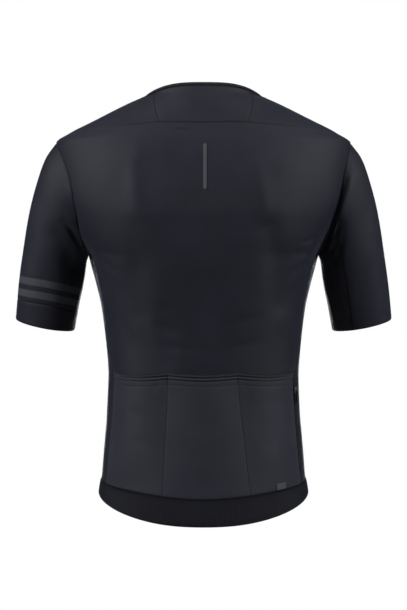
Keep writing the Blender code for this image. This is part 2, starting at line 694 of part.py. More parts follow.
def eyed_plate(name, outer, slot, thickness, finish):
    """A flat plate with a slot, from two outlines of as many points in the plane (across, up)."""
    count = len(outer)
    flat = [*outer, *slot]
    points = [(x, y, z) for y in (-thickness / 2, thickness / 2) for x, z in flat]
    faces = []
    for i in range(count):
        j = (i + 1) % count
        faces.append([i, j, count + j, count + i])
        faces.append([2 * count + j, 2 * count + i, 3 * count + i, 3 * count + j])
        faces.append([j, i, 2 * count + i, 2 * count + j])
        faces.append([count + i, count + j, 3 * count + j, 3 * count + i])
    return add_solid(name, points, faces, finish)


def make_slider(name, direction, height, proud, half_width, length, pull_half, pull_length):
    """A slider lying on its tape, and the pull tab that hangs in its bridge.

    Both are made upright about the hinge, the pull's top bar in the bridge's hole, with the cloth
    behind them (+Y). Their shared origin is then put on the hinge and turned to the slope of the cloth.
    """
    reach = BRIDGE_HOLE / 2 + BRIDGE_BAR
    front_face, back_face = BRIDGE_HOLE / 2, BRIDGE_HOLE / 2 + SLIDER_PLATE
    top, bottom = length * 0.4, -length * 0.6
    outline = [
        (-half_width * 0.7, bottom), (half_width * 0.7, bottom), (half_width, bottom + length * 0.35),
        (half_width, top - length * 0.12), (half_width * 0.8, top), (-half_width * 0.8, top),
        (-half_width, top - length * 0.12), (-half_width, bottom + length * 0.35),
    ]
    plate = prism(f"{name}_slider", outline, front_face, back_face, "zip metal")
    bridge = staple(f"{name}_bridge", reach, BRIDGE_BAR, front_face + 0.6, BRIDGE_WIDTH / 2, "zip metal")
    bridge.hide_render = True
    bridge.display_type = "WIRE"
    join = plate.modifiers.new("bridge", "BOOLEAN")
    join.operation = "UNION"
    join.solver = "EXACT"
    join.object = bridge

    eye, slot = PULL_PLATE / 2, -(reach * math.sqrt(2) + 0.5)
    wide, corner = BRIDGE_WIDTH / 2 + 0.35, pull_half * 0.9
    rim = [
        (-pull_half * 0.5, -pull_length), (pull_half * 0.5, -pull_length), (pull_half, corner - pull_length),
        (pull_half, slot), (pull_half * 0.9, eye), (-pull_half * 0.9, eye), (-pull_half, slot),
        (-pull_half, corner - pull_length),
    ]
    hole = [
        (-wide * 0.5, slot), (wide * 0.5, slot), (wide, slot), (wide, (slot - eye) / 2),
        (wide, -eye), (-wide, -eye), (-wide, (slot - eye) / 2), (-wide, slot),
    ]
    pull = eyed_plate(f"{name}_pull", rim, hole, PULL_PLATE, "zip metal")

    outward = body_normal(direction, height)
    upward = unit(np.array([0.0, 0.0, 1.0]) - outward[2] * outward)
    across = np.cross(-outward, upward)
    hinge = body(direction, height) + outward * (proud + SEAM_GAP + back_face)
    for made in (plate, bridge, pull):
        turn = np.stack([across, -outward, upward], axis=1)
        made.matrix_world = Matrix.Translation(hinge * MM) @ Matrix(turn.tolist()).to_4x4()


def make_reflective_strip():
    """A bonded film strip on the centre back, with rounded ends."""
    ends = (0.0, 0.012, 0.03, 0.06)
    share = np.array([*ends, *np.linspace(0.2, 0.8, 4), *(1 - np.array(ends[::-1]))])
    width = np.array([0.45, 0.8, 0.95, 1.0, *np.ones(4), 1.0, 0.95, 0.8, 0.45])
    height = STRIP_BOTTOM + (STRIP_TOP - STRIP_BOTTOM) * share
    back = smooth(BODY[:, 0], BODY[:, 2], height)
    edges = [np.degrees((STRIP_PLACE + half * width * STRIP_WIDTH / 2) / back) for half in (-1, 0, 1)]
    grid = np.stack([np.stack([edge, height], axis=-1) for edge in edges], axis=1)
    points, normals = body_grid(grid)
    cloth("reflective_strip", points + normals * TRIM_GAP, normals, "reflective film",
          wall=TRIM_WALL, proud=TRIM_WALL)


def make_hem_tab():
    """A small folded tab caught in the hem band's seam, lying up against the right pocket."""
    half = math.degrees(TAB_WIDTH / 2 / TAB_REACH)
    directions = TAB_DIRECTION + np.array([-half, 0.0, half])
    share = np.array([0.06, 0.5, 1.0])[:, None]
    height = hem_top(directions) + TAB_HEIGHT * share
    grid = np.stack([np.broadcast_to(directions, height.shape), height], axis=-1)
    points, normals = body_grid(grid)
    ends = DIVIDERS_AT_HEM[1], BACK_SIDE_SEAM[0][0]
    u = (directions - ends[0]) / (ends[1] - ends[0])
    v = (height - hem_top(directions)) / (POCKET_MOUTH - hem_top(directions))
    fullness = np.sin(math.pi * u) ** 0.8 * np.sin(math.pi / 2 * v) ** 0.8
    lift = SEAM_GAP + POCKET_WALL + POCKET_DEPTH * fullness + TRIM_GAP
    cloth("hem_tab", points + normals * lift[..., None], normals, "reflective film",
          wall=TRIM_WALL, proud=TRIM_WALL)


for old in list(bpy.data.objects):
    bpy.data.objects.remove(old, do_unlink=True)

make_back_panel()
make_neck_panel()
make_neck_binding()
make_hem_band()
for side in (LEFT, RIGHT):
    make_front(side)
    make_side_panel(side)
    make_sleeve(side)
for number, name in enumerate(("left", "centre", "right")):
    make_pocket(number, name)
make_front_zip_tape()
make_side_zip_tape()
make_slider("front_zip", *FRONT_SLIDER)
make_slider("side_zip", *SIDE_SLIDER)
make_reflective_strip()
make_hem_tab()
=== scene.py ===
"""A close-fitting short-sleeved cycling jersey, filled out as worn, dressed over its solids.

The wearer faces +Y, so the back looks towards -Y. Sizes in the tables are millimetres.
"""
import json
import math

import bmesh
import bpy
import numpy as np
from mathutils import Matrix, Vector

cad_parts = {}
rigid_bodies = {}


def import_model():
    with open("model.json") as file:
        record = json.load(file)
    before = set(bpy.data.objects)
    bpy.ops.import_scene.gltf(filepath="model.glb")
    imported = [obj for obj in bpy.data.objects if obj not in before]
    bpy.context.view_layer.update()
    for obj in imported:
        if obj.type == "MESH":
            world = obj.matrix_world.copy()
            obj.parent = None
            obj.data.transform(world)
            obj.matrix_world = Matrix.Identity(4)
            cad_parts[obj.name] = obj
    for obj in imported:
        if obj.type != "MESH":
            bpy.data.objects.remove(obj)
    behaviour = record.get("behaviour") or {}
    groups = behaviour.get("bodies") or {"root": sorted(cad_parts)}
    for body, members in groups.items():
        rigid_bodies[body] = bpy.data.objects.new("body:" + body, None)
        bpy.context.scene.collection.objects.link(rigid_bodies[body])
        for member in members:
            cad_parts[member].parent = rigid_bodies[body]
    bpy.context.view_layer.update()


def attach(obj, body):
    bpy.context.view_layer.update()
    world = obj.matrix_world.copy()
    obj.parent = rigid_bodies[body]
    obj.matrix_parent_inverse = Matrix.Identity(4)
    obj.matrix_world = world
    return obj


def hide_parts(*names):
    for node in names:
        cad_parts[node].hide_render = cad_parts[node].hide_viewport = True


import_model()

MM = 0.001


def placed(name, data):
    """A new object at the origin, which stands in the scene."""
    made = bpy.data.objects.new(name, data)
    bpy.context.scene.collection.objects.link(made)
    return made


# ------------------------------ camera
# It stands straight behind the jersey, level with its middle. Its long lens keeps near and far parts
# nearly the same size.

CAMERA_DISTANCE, CAMERA_HEIGHT = 3.0, -0.3203
FRAME_HEIGHT = 0.9394
camera_data = bpy.data.cameras.new("camera")
camera_data.sensor_width = 36.0
camera_data.lens = camera_data.sensor_width * CAMERA_DISTANCE / FRAME_HEIGHT
camera = placed("camera", camera_data)
camera.location = (0.0, -CAMERA_DISTANCE, CAMERA_HEIGHT)
camera.rotation_euler = (math.pi / 2, 0.0, 0.0)
bpy.context.scene.camera = camera


# ------------------------------ back panel
# The largest piece, cut in one from the hem over both shoulder blades to the yoke seam.
# It is a fine warp knit, cut close, so it lies smooth but for soft drag lines towards the armholes.

# height, half width, depth of the back, depth of the front, squareness
BODY = np.array((
    (-670.0, 162.0, 115.0, 107.0, 2.30),
    (-608.0, 160.0, 114.5, 107.5, 2.30),
    (-584.0, 156.5, 112.5, 107.0, 2.30),
    (-556.0, 154.0, 110.0, 106.0, 2.30),
    (-519.0, 151.0, 106.0, 104.0, 2.28),
    (-482.0, 148.3, 102.0, 101.5, 2.26),
    (-428.0, 146.4, 98.5, 99.5, 2.25),
    (-390.0, 148.8, 99.5, 101.0, 2.25),
    (-325.0, 156.8, 107.0, 108.0, 2.27),
    (-288.0, 165.0, 112.0, 113.0, 2.28),
    (-260.0, 172.5, 115.5, 116.5, 2.30),
    (-245.0, 177.0, 117.0, 118.0, 2.30),
    (-235.0, 184.0, 117.8, 119.0, 2.30),
    (-216.0, 196.0, 118.5, 120.0, 2.30),
    (-188.0, 210.0, 118.5, 119.5, 2.30),
    (-158.0, 221.0, 116.0, 116.0, 2.30),
    (-131.0, 226.0, 112.0, 110.0, 2.30),
    (-97.0, 228.0, 105.0, 99.0, 2.30),
    (-71.6, 226.5, 97.5, 89.0, 2.25),
    (-57.0, 206.0, 91.5, 83.0, 2.22),
    (-38.5, 171.0, 84.0, 76.0, 2.20),
    (-20.0, 134.0, 77.0, 70.0, 2.15),
    (-4.6, 101.2, 70.0, 65.5, 2.10),
    (0.0, 89.8, 67.0, 64.0, 2.10),
    (25.0, 82.0, 57.0, 60.0, 2.05),
))
LEFT, RIGHT = -1, 1
BACK, FRONT = -1, 1
SIDE_NAMES = {LEFT: "left", RIGHT: "right"}
WALL, SEAM_GAP = 1.2, 0.3

# The hem, the armholes and the seams, as the pieces are cut
HEM_TOP, HEM_TOP_TAIL, HEM_FRONT_RISE = -586.5, 23.0, 25.0
ARMHOLE_TOP, ARMHOLE_BOTTOM = -71.6, -245.0
ARMHOLE_BACK = {LEFT: 62.0, RIGHT: 51.0}
ARMHOLE_FRONT = {LEFT: 50.0, RIGHT: 60.0}
ARMHOLE_STEPS = 32
BACK_SEAM_STEP, FRONT_SEAM_STEP, YOKE_STEP = 15, 18, 30
YOKE_DIP = 1.5
YOKE_SEAM = ((38.4, -45.5), (55.5, -49.0), (66.1, -52.0), (76.3, -53.5), (90.0, -54.0))
BACK_SEAM_AT_HEM, BACK_SEAM_AT_MOUTH = 71.5, 71.7
BACK_SEAM_ABOVE = ((76.8, -405.0), (79.8, -388.0), (84.0, -330.0))
POCKET_MOUTH = -421.5
DIVIDERS_AT_HEM = (-29.0, 33.0)
DIVIDERS_AT_MOUTH = (-29.5, 28.0)
FOLD_FADE, CREASE_FADE, SLACK = 30.0, 25.0, 0.30
LOW_ROWS = (0.0, 0.10, 0.28, 0.46, 0.64, 0.82, 0.95, 1.0)
MIDDLE_ROWS = 7
FRONT_COLUMNS, NECK_COLUMNS = 9, 8
FINE = 6

# The large folds, nearly as the solids have them: two beside the left armpit are sharper here.
# from (x, z), to (x, z), height out of the cloth, half width
FOLDS = {
    BACK: (
        (-118, -118, -96, -185, 4, 42),
        (120, -125, 98, -190, 4, 42),
        (0, -120, 0, -330, -3, 34),
        (-104, -270, -92, -330, -2.5, 18),
        (98, -205, 118, -320, -2.5, 18),
        (-60, -330, -52, -400, -1.5, 14),
        (-206, -204, -182, -234, 2.2, 12),
        (-220, -216, -198, -262, -3.6, 17),
        (205, -198, 192, -236, -3, 9),
    ),
    FRONT: (
        (-66, -140, -92, -200, 3.5, 44),
        (66, -140, 92, -200, 3.5, 44),
        (-110, -262, -60, -300, -2.5, 18),
        (112, -268, 58, -312, -2.5, 18),
    ),
}

# The small creases, laid one by one.
# from (x, z), to (x, z), how far its middle bows aside, height out of the cloth, half width
CREASES = {
    BACK: (
        # from the armpits towards the middle and down the sides
        (172, -214, 146, -226, 3, -1.3, 3.4),
        (168, -232, 136, -244, 4, -1.5, 4),
        (165, -224, 138, -235, 3, 0.8, 4),
        (160, -256, 128, -284, -5, -0.9, 6),
        (-168, -226, -140, -243, -4, -1.1, 4.5),
        (-162, -250, -128, -282, 5, -0.9, 6),
        (-158, -276, -118, -318, 7, -0.7, 8),
        (156, -286, 116, -330, -7, -0.7, 8),
        # the edges of the shoulder blades
        (-101, -78, -97, -196, -3, 2.6, 13),
        (74, -96, 90, -204, 4, 2.4, 14),
        # under the yoke and beside the strip
        (-48, -55, -18, -57.5, 1, 0.9, 2.2),
        (-46, -58.5, -18, -61, 1, -0.7, 2.4),
        (-150, -78, -96, -96, 5, -0.7, 9),
        (154, -80, 92, -100, -5, -0.7, 9),
        (36, -70, 60, -122, -4, -0.6, 9),
        (-30, -76, -58, -132, 4, -0.6, 10),
        # waist and small of the back
        (-96, -352, -30, -366, 5, -0.8, 9),
        (24, -356, 104, -342, 6, -0.8, 10),
        (-70, -384, 8, -392, 3, -0.7, 7),
        (30, -388, 96, -378, 3, -0.6, 7),
        (-132, -330, -108, -396, 5, -0.8, 8),
        (134, -322, 120, -392, -5, -0.8, 8),
        # left sleeve, from the armhole down its back
        (-210, -180, -174, -230, 3, 1.4, 5.5),
        (-217, -189, -180, -243, 3, -2.8, 4.5),
        (-186, -206, -194, -450, 3, -7, 21),
        (-252, -150, -236, -232, 5, -0.8, 9),
        (-268, -236, -236, -322, 5, -0.7, 9),
        (-228, -110, -204, -152, 4, -0.8, 8),
        # right sleeve
        (205, -188, 190, -228, 3, -1.4, 3.2),
        (199, -196, 187, -240, 3, 1, 3.2),
        (213, -206, 193, -262, 4, -1.8, 5),
        (187, -200, 194, -450, -3, -6, 18),
        (256, -160, 240, -240, -5, -0.8, 9),
        (272, -246, 232, -318, -6, -0.7, 9),
        (230, -112, 206, -158, -4, -0.8, 8),
        (286, -306, 290, -322, 0, 0.7, 4),
    ),
    FRONT: (
        # from the armholes and across the waist
        (-176, -206, -134, -232, -5, -1.3, 5),
        (-170, -236, -122, -268, 6, -1, 6),
        (174, -200, 136, -222, 5, -1.3, 5),
        (168, -232, 118, -270, -6, -1, 6),
        (-128, -112, -76, -128, 5, -0.8, 9),
        (132, -110, 80, -130, -5, -0.8, 9),
        (-104, -372, -28, -384, 5, -0.9, 8),
        (26, -380, 100, -366, 5, -0.9, 8),
        (-96, -408, -22, -416, 4, -0.8, 7),
        (20, -412, 92, -402, 4, -0.8, 7),
        (-100, -452, -40, -524, 6, -0.7, 11),
        (104, -446, 44, -520, -6, -0.7, 11),
        (-236, -200, -194, -262, 5, -1.1, 6),
        (238, -196, 194, -258, -5, -1.1, 6),
        (-262, -250, -226, -330, 5, -0.7, 9),
        (264, -246, 228, -328, -5, -0.7, 9),
    ),
}


def smooth(knots, values, at):
    """A smooth curve through the rows of a table, which never swings past them."""
    knots, values, at = np.asarray(knots, float), np.asarray(values, float), np.asarray(at, float)
    flat = (-1,) + (1,) * (values.ndim - 1)
    rise = np.diff(values, axis=0) / np.diff(knots).reshape(flat)
    before, after = rise[:-1], rise[1:]
    agree = before * after > 0
    inner = np.where(agree, 2 * before * after / np.where(agree, before + after, 1.0), 0.0)
    slopes = np.concatenate([rise[:1], inner, rise[-1:]])
    low = np.clip(np.searchsorted(knots, at, side="right") - 1, 0, len(knots) - 2)
    wide = at.shape + (1,) * (values.ndim - 1)
    width = (knots[low + 1] - knots[low]).reshape(wide)
    t = ((at - knots[low]) / (knots[low + 1] - knots[low])).reshape(wide)
    return (
        (1 + 2 * t) * (1 - t) ** 2 * values[low]
        + t * (1 - t) ** 2 * width * slopes[low]
        + t * t * (3 - 2 * t) * values[low + 1]
        + t * t * (t - 1) * width * slopes[low + 1]
    )


def unit(vectors):
    return vectors / np.maximum(np.linalg.norm(vectors, axis=-1, keepdims=True), 1e-12)


def section(height):
    """Half width, depth of the back, depth of the front and squareness at each height."""
    return np.moveaxis(smooth(BODY[:, 0], BODY[:, 1:], height), -1, 0)


def body(direction, height):
    """The point of the body's surface in a direction (degrees from the centre back) at a height."""
    direction, height = np.broadcast_arrays(np.radians(direction), height)
    half, back, front, square = section(height)
    forward, aside = np.cos(direction), np.sin(direction)
    depth = np.where(forward > 0, back, front)
    reach = ((np.abs(forward) / depth) ** square + (np.abs(aside) / half) ** square) ** (-1 / square)
    return np.stack([reach * aside, -reach * forward, height.astype(float)], axis=-1)


def body_normal(direction, height):
    round_it = body(direction + 0.2, height) - body(direction - 0.2, height)
    up_it = body(direction, height + 0.5) - body(direction, height - 0.5)
    return unit(np.cross(round_it, up_it))


def armhole(side, step):
    """Direction and height of the armhole seam at a step round it, from the top by way of the back."""
    angle = np.asarray(step, float) * 2 * math.pi / ARMHOLE_STEPS
    middle, reach = (ARMHOLE_TOP + ARMHOLE_BOTTOM) / 2, (ARMHOLE_TOP - ARMHOLE_BOTTOM) / 2
    height = middle + reach * np.cos(angle)
    half, back, front, square = section(height)
    behind = np.sin(angle) > 0
    y = -np.sin(angle) * np.where(behind, ARMHOLE_BACK[side], ARMHOLE_FRONT[side])
    depth = np.where(behind, back, front)
    x = half * (1 - (np.abs(y) / depth) ** square) ** (1 / square)
    return np.stack([side * np.degrees(np.arctan2(x, -y)), height], axis=-1)


# Sleeve rings after the armhole, armhole to cuff.
# place along the sleeve, outer edge (x, z), inner edge (x, z), half depth, middle (y), dip of the back
SLEEVE_RINGS = (
    (0.088, 242.5, -94.0, 179.8, -252.0, 60.0, 1.0, 0.0),
    (0.195, 254.3, -124.0, 181.3, -261.0, 60.0, 3.0, 0.5),
    (0.326, 264.5, -160.0, 183.3, -276.0, 58.5, 6.0, 1.0),
    (0.480, 272.9, -200.0, 187.0, -296.0, 56.5, 10.0, 2.0),
    (0.647, 280.3, -245.0, 191.6, -316.0, 54.0, 15.0, 3.5),
    (0.820, 287.0, -293.0, 195.6, -337.0, 51.5, 21.0, 5.0),
    (1.000, 292.0, -341.0, 199.8, -359.0, 49.5, 28.0, 6.5),
)


def sleeve(side, step, place):
    """Points of the sleeve's surface: armhole steps by places from 0, the armhole, to 1, the cuff's edge."""
    step, place = np.asarray(step, float), np.asarray(place, float)
    angle = step * 2 * math.pi / ARMHOLE_STEPS
    rings = [body(*np.moveaxis(armhole(side, step), -1, 0))]
    for _, outer_x, outer_z, inner_x, inner_z, depth, middle_y, dip in SLEEVE_RINGS:
        toward = np.cos(angle)
        x = (outer_x + inner_x) / 2 + toward * (outer_x - inner_x) / 2
        z = (outer_z + inner_z) / 2 + toward * (outer_z - inner_z) / 2 - dip * np.sin(angle)
        rings.append(np.stack([side * x, middle_y - depth * np.sin(angle), z], axis=-1))
    places, rings = (0.0,) + tuple(row[0] for row in SLEEVE_RINGS), np.array(rings)
    columns = [smooth(places, rings[:, i], place[..., i]) for i in range(len(step))]
    return np.stack(columns, axis=-2)


def sleeve_normal(side, step, place):
    around = sleeve(side, step + 0.05, place) - sleeve(side, step - 0.05, place)
    near, far = np.clip(place - 0.01, 0, 1), np.clip(place + 0.01, 0, 1)
    down = sleeve(side, step, far) - sleeve(side, step, near)
    return side * unit(np.cross(around, down))


def armhole_normal(side, step):
    """Between the body's and the sleeve's, so that both walls end in one mitre at the seam."""
    step = np.asarray(step, float)
    on_sleeve = sleeve_normal(side, step, np.zeros((1, len(step))))[0]
    on_body = body_normal(*np.moveaxis(armhole(side, step), -1, 0))
    return unit(on_sleeve + on_body)


def in_halves(table):
    """The rows of a table one by one, each with its half of the jersey put first."""
    return [(half, *row) for half, rows in table.items() for row in rows]


def bell(distance, half_width):
    """1 where a distance is 0, falling softly to nothing over about two half widths."""
    return np.exp(-(distance / half_width) ** 2)


def crease_lift(points, creases):
    """How far the small creases lift or sink the cloth. Each fades out at both its ends."""
    lift = np.zeros(points.shape[:-1])
    for half, x0, z0, x1, z1, bow, height, half_width in in_halves(creases):
        line = np.array([x1 - x0, z1 - z0])
        length = np.linalg.norm(line)
        flat = points[..., [0, 2]] - np.array([x0, z0])
        share = flat @ line / length ** 2
        aside = flat @ np.array([-line[1], line[0]]) / length
        away = aside - bow * 4 * share * (1 - share)
        fade = np.clip(np.sin(math.pi * np.clip(share, 0, 1)), 0, 1) ** 0.8
        lift += height * bell(away, half_width) * fade * np.clip(points[..., 1] * half / CREASE_FADE, 0, 1)
    return lift


def cloth_lift(points):
    """The large folds, the small creases, and the slight slackness of a knit between them."""
    lift = np.zeros(points.shape[:-1])
    for half, x0, z0, x1, z1, height, half_width in in_halves(FOLDS):
        start, line = np.array([x0, z0]), np.array([x1 - x0, z1 - z0])
        flat = points[..., [0, 2]] - start
        along_it = np.clip(flat @ line / (line @ line), 0, 1)
        away = np.linalg.norm(flat - along_it[..., None] * line, axis=-1)
        lift += height * bell(away, half_width) * np.clip(points[..., 1] * half / FOLD_FADE, 0, 1)
    x, y, z = np.moveaxis(points, -1, 0)
    slack = np.sin(x / 17 + 1.1 * np.sin(z / 39) + y / 31) * np.sin(z / 23 + 0.9 * np.sin(x / 47))
    return lift + crease_lift(points, CREASES) + SLACK * slack


def hem_top(direction):
    """The hem band's seam: it drops to a tail behind and rises a little before."""
    forward = np.cos(np.radians(direction))
    drop = HEM_TOP_TAIL * np.maximum(forward, 0) ** 1.5
    return HEM_TOP - drop + HEM_FRONT_RISE * np.maximum(-forward, 0)


def fine_steps(first, last):
    return np.linspace(first, last, abs(last - first) * FINE + 1)


def along(knots, steps):
    """Even steps along a seam through its knots (direction, height), ends included."""
    knots = np.array(knots, float)
    spans = np.linalg.norm(np.diff(body(knots[:, 0], knots[:, 1]), axis=0), axis=-1)
    length = np.concatenate([[0.0], np.cumsum(spans)])
    return smooth(length, knots, np.linspace(0.0, length[-1], steps * FINE + 1))


def chain(*runs):
    """Runs of points joined end to end, each shared point once."""
    return np.concatenate([runs[0]] + [run[1:] for run in runs[1:]])


def mirrored(points, side):
    return points * np.array([side, 1.0])


def pairs(direction, height):
    """A grid of (direction, height), each spread to the other's shape."""
    return np.stack(np.broadcast_arrays(direction, height), axis=-1)


def patch(bottom, top, left, right, ease=1.0):
    """A grid of (direction, height) between its four edges. A high ease keeps the side edges' turns local."""
    u = np.linspace(0, 1, len(bottom))[None, :, None]
    v = np.linspace(0, 1, len(left))[:, None, None]
    across = (1 - v) * bottom[None] + v * top[None]
    left_turn = left[:, None] - (1 - v) * bottom[0] - v * top[0]
    right_turn = right[:, None] - (1 - v) * bottom[-1] - v * top[-1]
    return across + (1 - u) ** ease * left_turn + u ** ease * right_turn


LOW = (len(LOW_ROWS) - 1) * FINE
LOW_SHARES = np.interp(fine_steps(0, len(LOW_ROWS) - 1), range(len(LOW_ROWS)), LOW_ROWS)
ARMPIT_ROW = LOW + MIDDLE_ROWS * FINE


def low_rows(at_hem, at_mouth, shares):
    """Rows at shares of the way from the hem band, in given directions, to the pockets' mouths."""
    hem = hem_top(at_hem)
    return pairs(at_hem + (at_mouth - at_hem) * shares, hem + (POCKET_MOUTH - hem) * shares)


def side_seam(side, at_hem, at_mouth, middle, corner):
    """A seam from the hem to an armhole: its lower rows run straight, its middle rows through knots."""
    knots = [(at_mouth, POCKET_MOUTH), *middle, tuple(mirrored(corner, side))]
    return mirrored(chain(low_rows(at_hem, at_mouth, LOW_SHARES), along(knots, MIDDLE_ROWS)), side)


def back_seam(side):
    return side_seam(side, BACK_SEAM_AT_HEM, BACK_SEAM_AT_MOUTH, BACK_SEAM_ABOVE, armhole(side, BACK_SEAM_STEP))


def yoke_seam(side):
    """From the neck panel's corner over the shoulder to the armhole's front."""
    corner = mirrored(armhole(side, YOKE_STEP), side)
    return mirrored(along((*YOKE_SEAM, tuple(corner)), FRONT_COLUMNS), side)


def yoke_height(direction):
    """The yoke seam under the neck panel, a little lower in the middle."""
    corner = YOKE_SEAM[0]
    return corner[1] - YOKE_DIP * (1 - (np.abs(direction) / corner[0]) ** 2)


def shared_row(start, end, columns, height_at):
    directions = np.linspace(start, end, columns * FINE + 1)
    return pairs(directions, height_at(directions))


BACK_COLUMNS = 2 * FRONT_COLUMNS + NECK_COLUMNS
POCKET_ENDS = (0, FRONT_COLUMNS * FINE, (FRONT_COLUMNS + NECK_COLUMNS) * FINE, BACK_COLUMNS * FINE)


def lower_back(shares):
    """The lower back, whose columns keep to the pockets' dividers."""
    left, right = back_seam(LEFT), back_seam(RIGHT)
    columns = np.arange(BACK_COLUMNS * FINE + 1)
    at_hem = np.interp(columns, POCKET_ENDS, (left[0, 0], *DIVIDERS_AT_HEM, right[0, 0]))
    at_mouth = np.interp(columns, POCKET_ENDS, (left[LOW, 0], *DIVIDERS_AT_MOUTH, right[LOW, 0]))
    return low_rows(at_hem, at_mouth, np.asarray(shares)[:, None])


def back_rows():
    """The back panel's grid. Its lower rows follow the pockets' dividers, its upper ones the armholes."""
    left, right = back_seam(LEFT), back_seam(RIGHT)
    low = lower_back(LOW_SHARES)
    over = fine_steps(BACK_SEAM_STEP, YOKE_STEP - ARMHOLE_STEPS)
    left_edge = chain(left[LOW:], armhole(LEFT, over))
    right_edge = chain(right[LOW:], armhole(RIGHT, over))
    neck = shared_row(-YOKE_SEAM[0][0], YOKE_SEAM[0][0], NECK_COLUMNS, yoke_height)
    top = chain(yoke_seam(LEFT)[::-1], neck, yoke_seam(RIGHT))
    upper = patch(low[-1], top, left_edge, right_edge, ease=3.0)
    return np.concatenate([low, upper[1:]]), over


def body_grid(grid, mitres=()):
    """Points and normals of a grid on the body. A mitre is (side, rows, columns, armhole steps)."""
    direction, height = np.moveaxis(grid, -1, 0)
    points, normals = body(direction, height), body_normal(direction, height)
    for side, rows, columns, steps in mitres:
        normals[rows, columns] = armhole_normal(side, steps)
    return points + normals * cloth_lift(points)[..., None], normals


EDGE_SHARES = (0.12, 0.28, 0.55)


def between(grid, axis):
    """The grid with rows (axis 0) or columns (axis 1) added inside its first and last cells."""
    grid = np.moveaxis(grid, axis, 0)
    head = [grid[0] + (grid[1] - grid[0]) * share for share in EDGE_SHARES]
    tail = [grid[-1] + (grid[-2] - grid[-1]) * share for share in reversed(EDGE_SHARES)]
    return np.moveaxis(np.concatenate([grid[:1], head, grid[1:-1], tail, grid[-1:]]), 0, axis)


def run_lengths(points, axis):
    """Distance of each point along its row (axis 1) or column (axis 0)."""
    lengths = np.cumsum(np.linalg.norm(np.diff(points, axis=axis), axis=-1), axis=axis)
    return np.concatenate([np.zeros_like(np.take(lengths, [0], axis=axis)), lengths], axis=axis)


def two_walls(name, outer, inner, closed, flipped):
    """A mesh of an outer and an inner wall, joined along its open edges."""
    rows, columns = outer.shape[:2]
    count = rows * columns
    index = np.arange(count).reshape(rows, columns)
    cells = columns if closed else columns - 1
    here, right = index[:, :cells], np.roll(index, -1, axis=1)[:, :cells]
    quads = np.stack([here[:-1], right[:-1], right[1:], here[1:]], axis=-1).reshape(-1, 4)
    faces = [quads, quads[:, ::-1] + count]
    rims = [(right[0], here[0]), (here[-1], right[-1])]
    if not closed:
        first, last = index[:, 0], index[:, -1]
        rims += [(first[:-1], first[1:]), (last[1:], last[:-1])]
    faces += [np.stack([one, two, two + count, one + count], axis=-1) for one, two in rims]
    faces = np.concatenate(faces)
    mesh = bpy.data.meshes.new(name)
    corners = np.concatenate([outer.reshape(-1, 3), inner.reshape(-1, 3)]) * MM
    mesh.from_pydata(corners, [], (faces[:, ::-1] if flipped else faces).tolist())
    return mesh


# how far a seam rolls in, and how much painted shade its roll adds
SEAM_ROLL, SEAM_PAINTED_SHADE = 1.1, 0.8
SURFACES = {}


def sewn(solid, points, normals, finish, slot="body_cloth", name=None, wall=WALL, proud=0.0, closed=False,
         seam_dip=0.8, side_dip=None, pressed=0.0, attributes=None, grow=None):
    """A sewn piece in its solid's place: a thin wall over a grid, its edges rolled a little into their seams.

    Its painted shade, an attribute, is 1 where a seam or a row of stitches is to look shaded, and 0 in the
    open.
    What grows on it comes from a tree with its inputs. The cut is measured on the middle of the wall, and a
    trim under 10 mm wide isn't declared as a sheet.
    """
    name = name or f"{solid}_cloth"
    given = {"pressed": pressed, **(attributes or {})}
    spread = [np.broadcast_to(layer, points.shape[:2])[..., None] * 1.0 for layer in (proud, *given.values())]
    layers = [between(layer, 0) for layer in (points, normals, *spread)]
    if not closed:
        layers = [between(layer, 1) for layer in layers]
    points, normals, proud, *values = layers
    normals = unit(normals)
    across, up = run_lengths(points, 1), run_lengths(points, 0)
    dip = seam_dip * bell(np.minimum(up, up[-1:] - up), SEAM_ROLL)
    if not closed:
        near_side = np.minimum(across, across[:, -1:] - across)
        dip = np.maximum(dip, (seam_dip if side_dip is None else side_dip) * bell(near_side, SEAM_ROLL))
    points = points - normals * dip[..., None]
    # painted shade along each seam, as deep as the seam's roll
    values[0] = np.clip(values[0] + SEAM_PAINTED_SHADE * dip[..., None] ** 1.5, 0, 1)
    outer, inner = points + normals * proud, points + normals * (proud - wall)
    SURFACES[solid] = outer, normals

    facing = np.cross(points[:-1, 1:] - points[:-1, :-1], points[1:, :-1] - points[:-1, :-1])
    mesh = two_walls(name, outer, inner, closed, flipped=np.sum(facing * normals[:-1, :-1]) < 0)
    flat = np.stack([across - across[:, -1:] / 2, up], axis=-1).reshape(-1, 2) * MM
    corner = np.empty(len(mesh.loops), dtype=np.int32)
    mesh.loops.foreach_get("vertex_index", corner)
    mesh.uv_layers.new(name="cut").data.foreach_set("uv", flat[corner % len(flat)].ravel())
    for key, value in zip(given, values):
        made = mesh.attributes.new(key, "FLOAT", "POINT")
        made.data.foreach_set("value", np.tile(value.reshape(-1), 2).astype(np.float32))
    mesh.materials.append(finish)
    mesh.shade_smooth()
    mesh.set_sharp_from_angle(angle=math.radians(60))
    piece = placed(name, mesh)
    if grow:
        grown(piece, *grow)
    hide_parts(solid)
    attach(piece, "jersey")

    middle = (outer + inner) / 2
    if closed:
        middle = np.concatenate([middle, middle[:, :1]], axis=1)


def linear(code):
    """An sRGB hex colour, turned to linear."""
    parts = [int(code[i:i + 2], 16) / 255 for i in (1, 3, 5)]
    return tuple(c / 12.92 if c <= 0.04045 else ((c + 0.055) / 1.055) ** 2.4 for c in parts) + (1.0,)


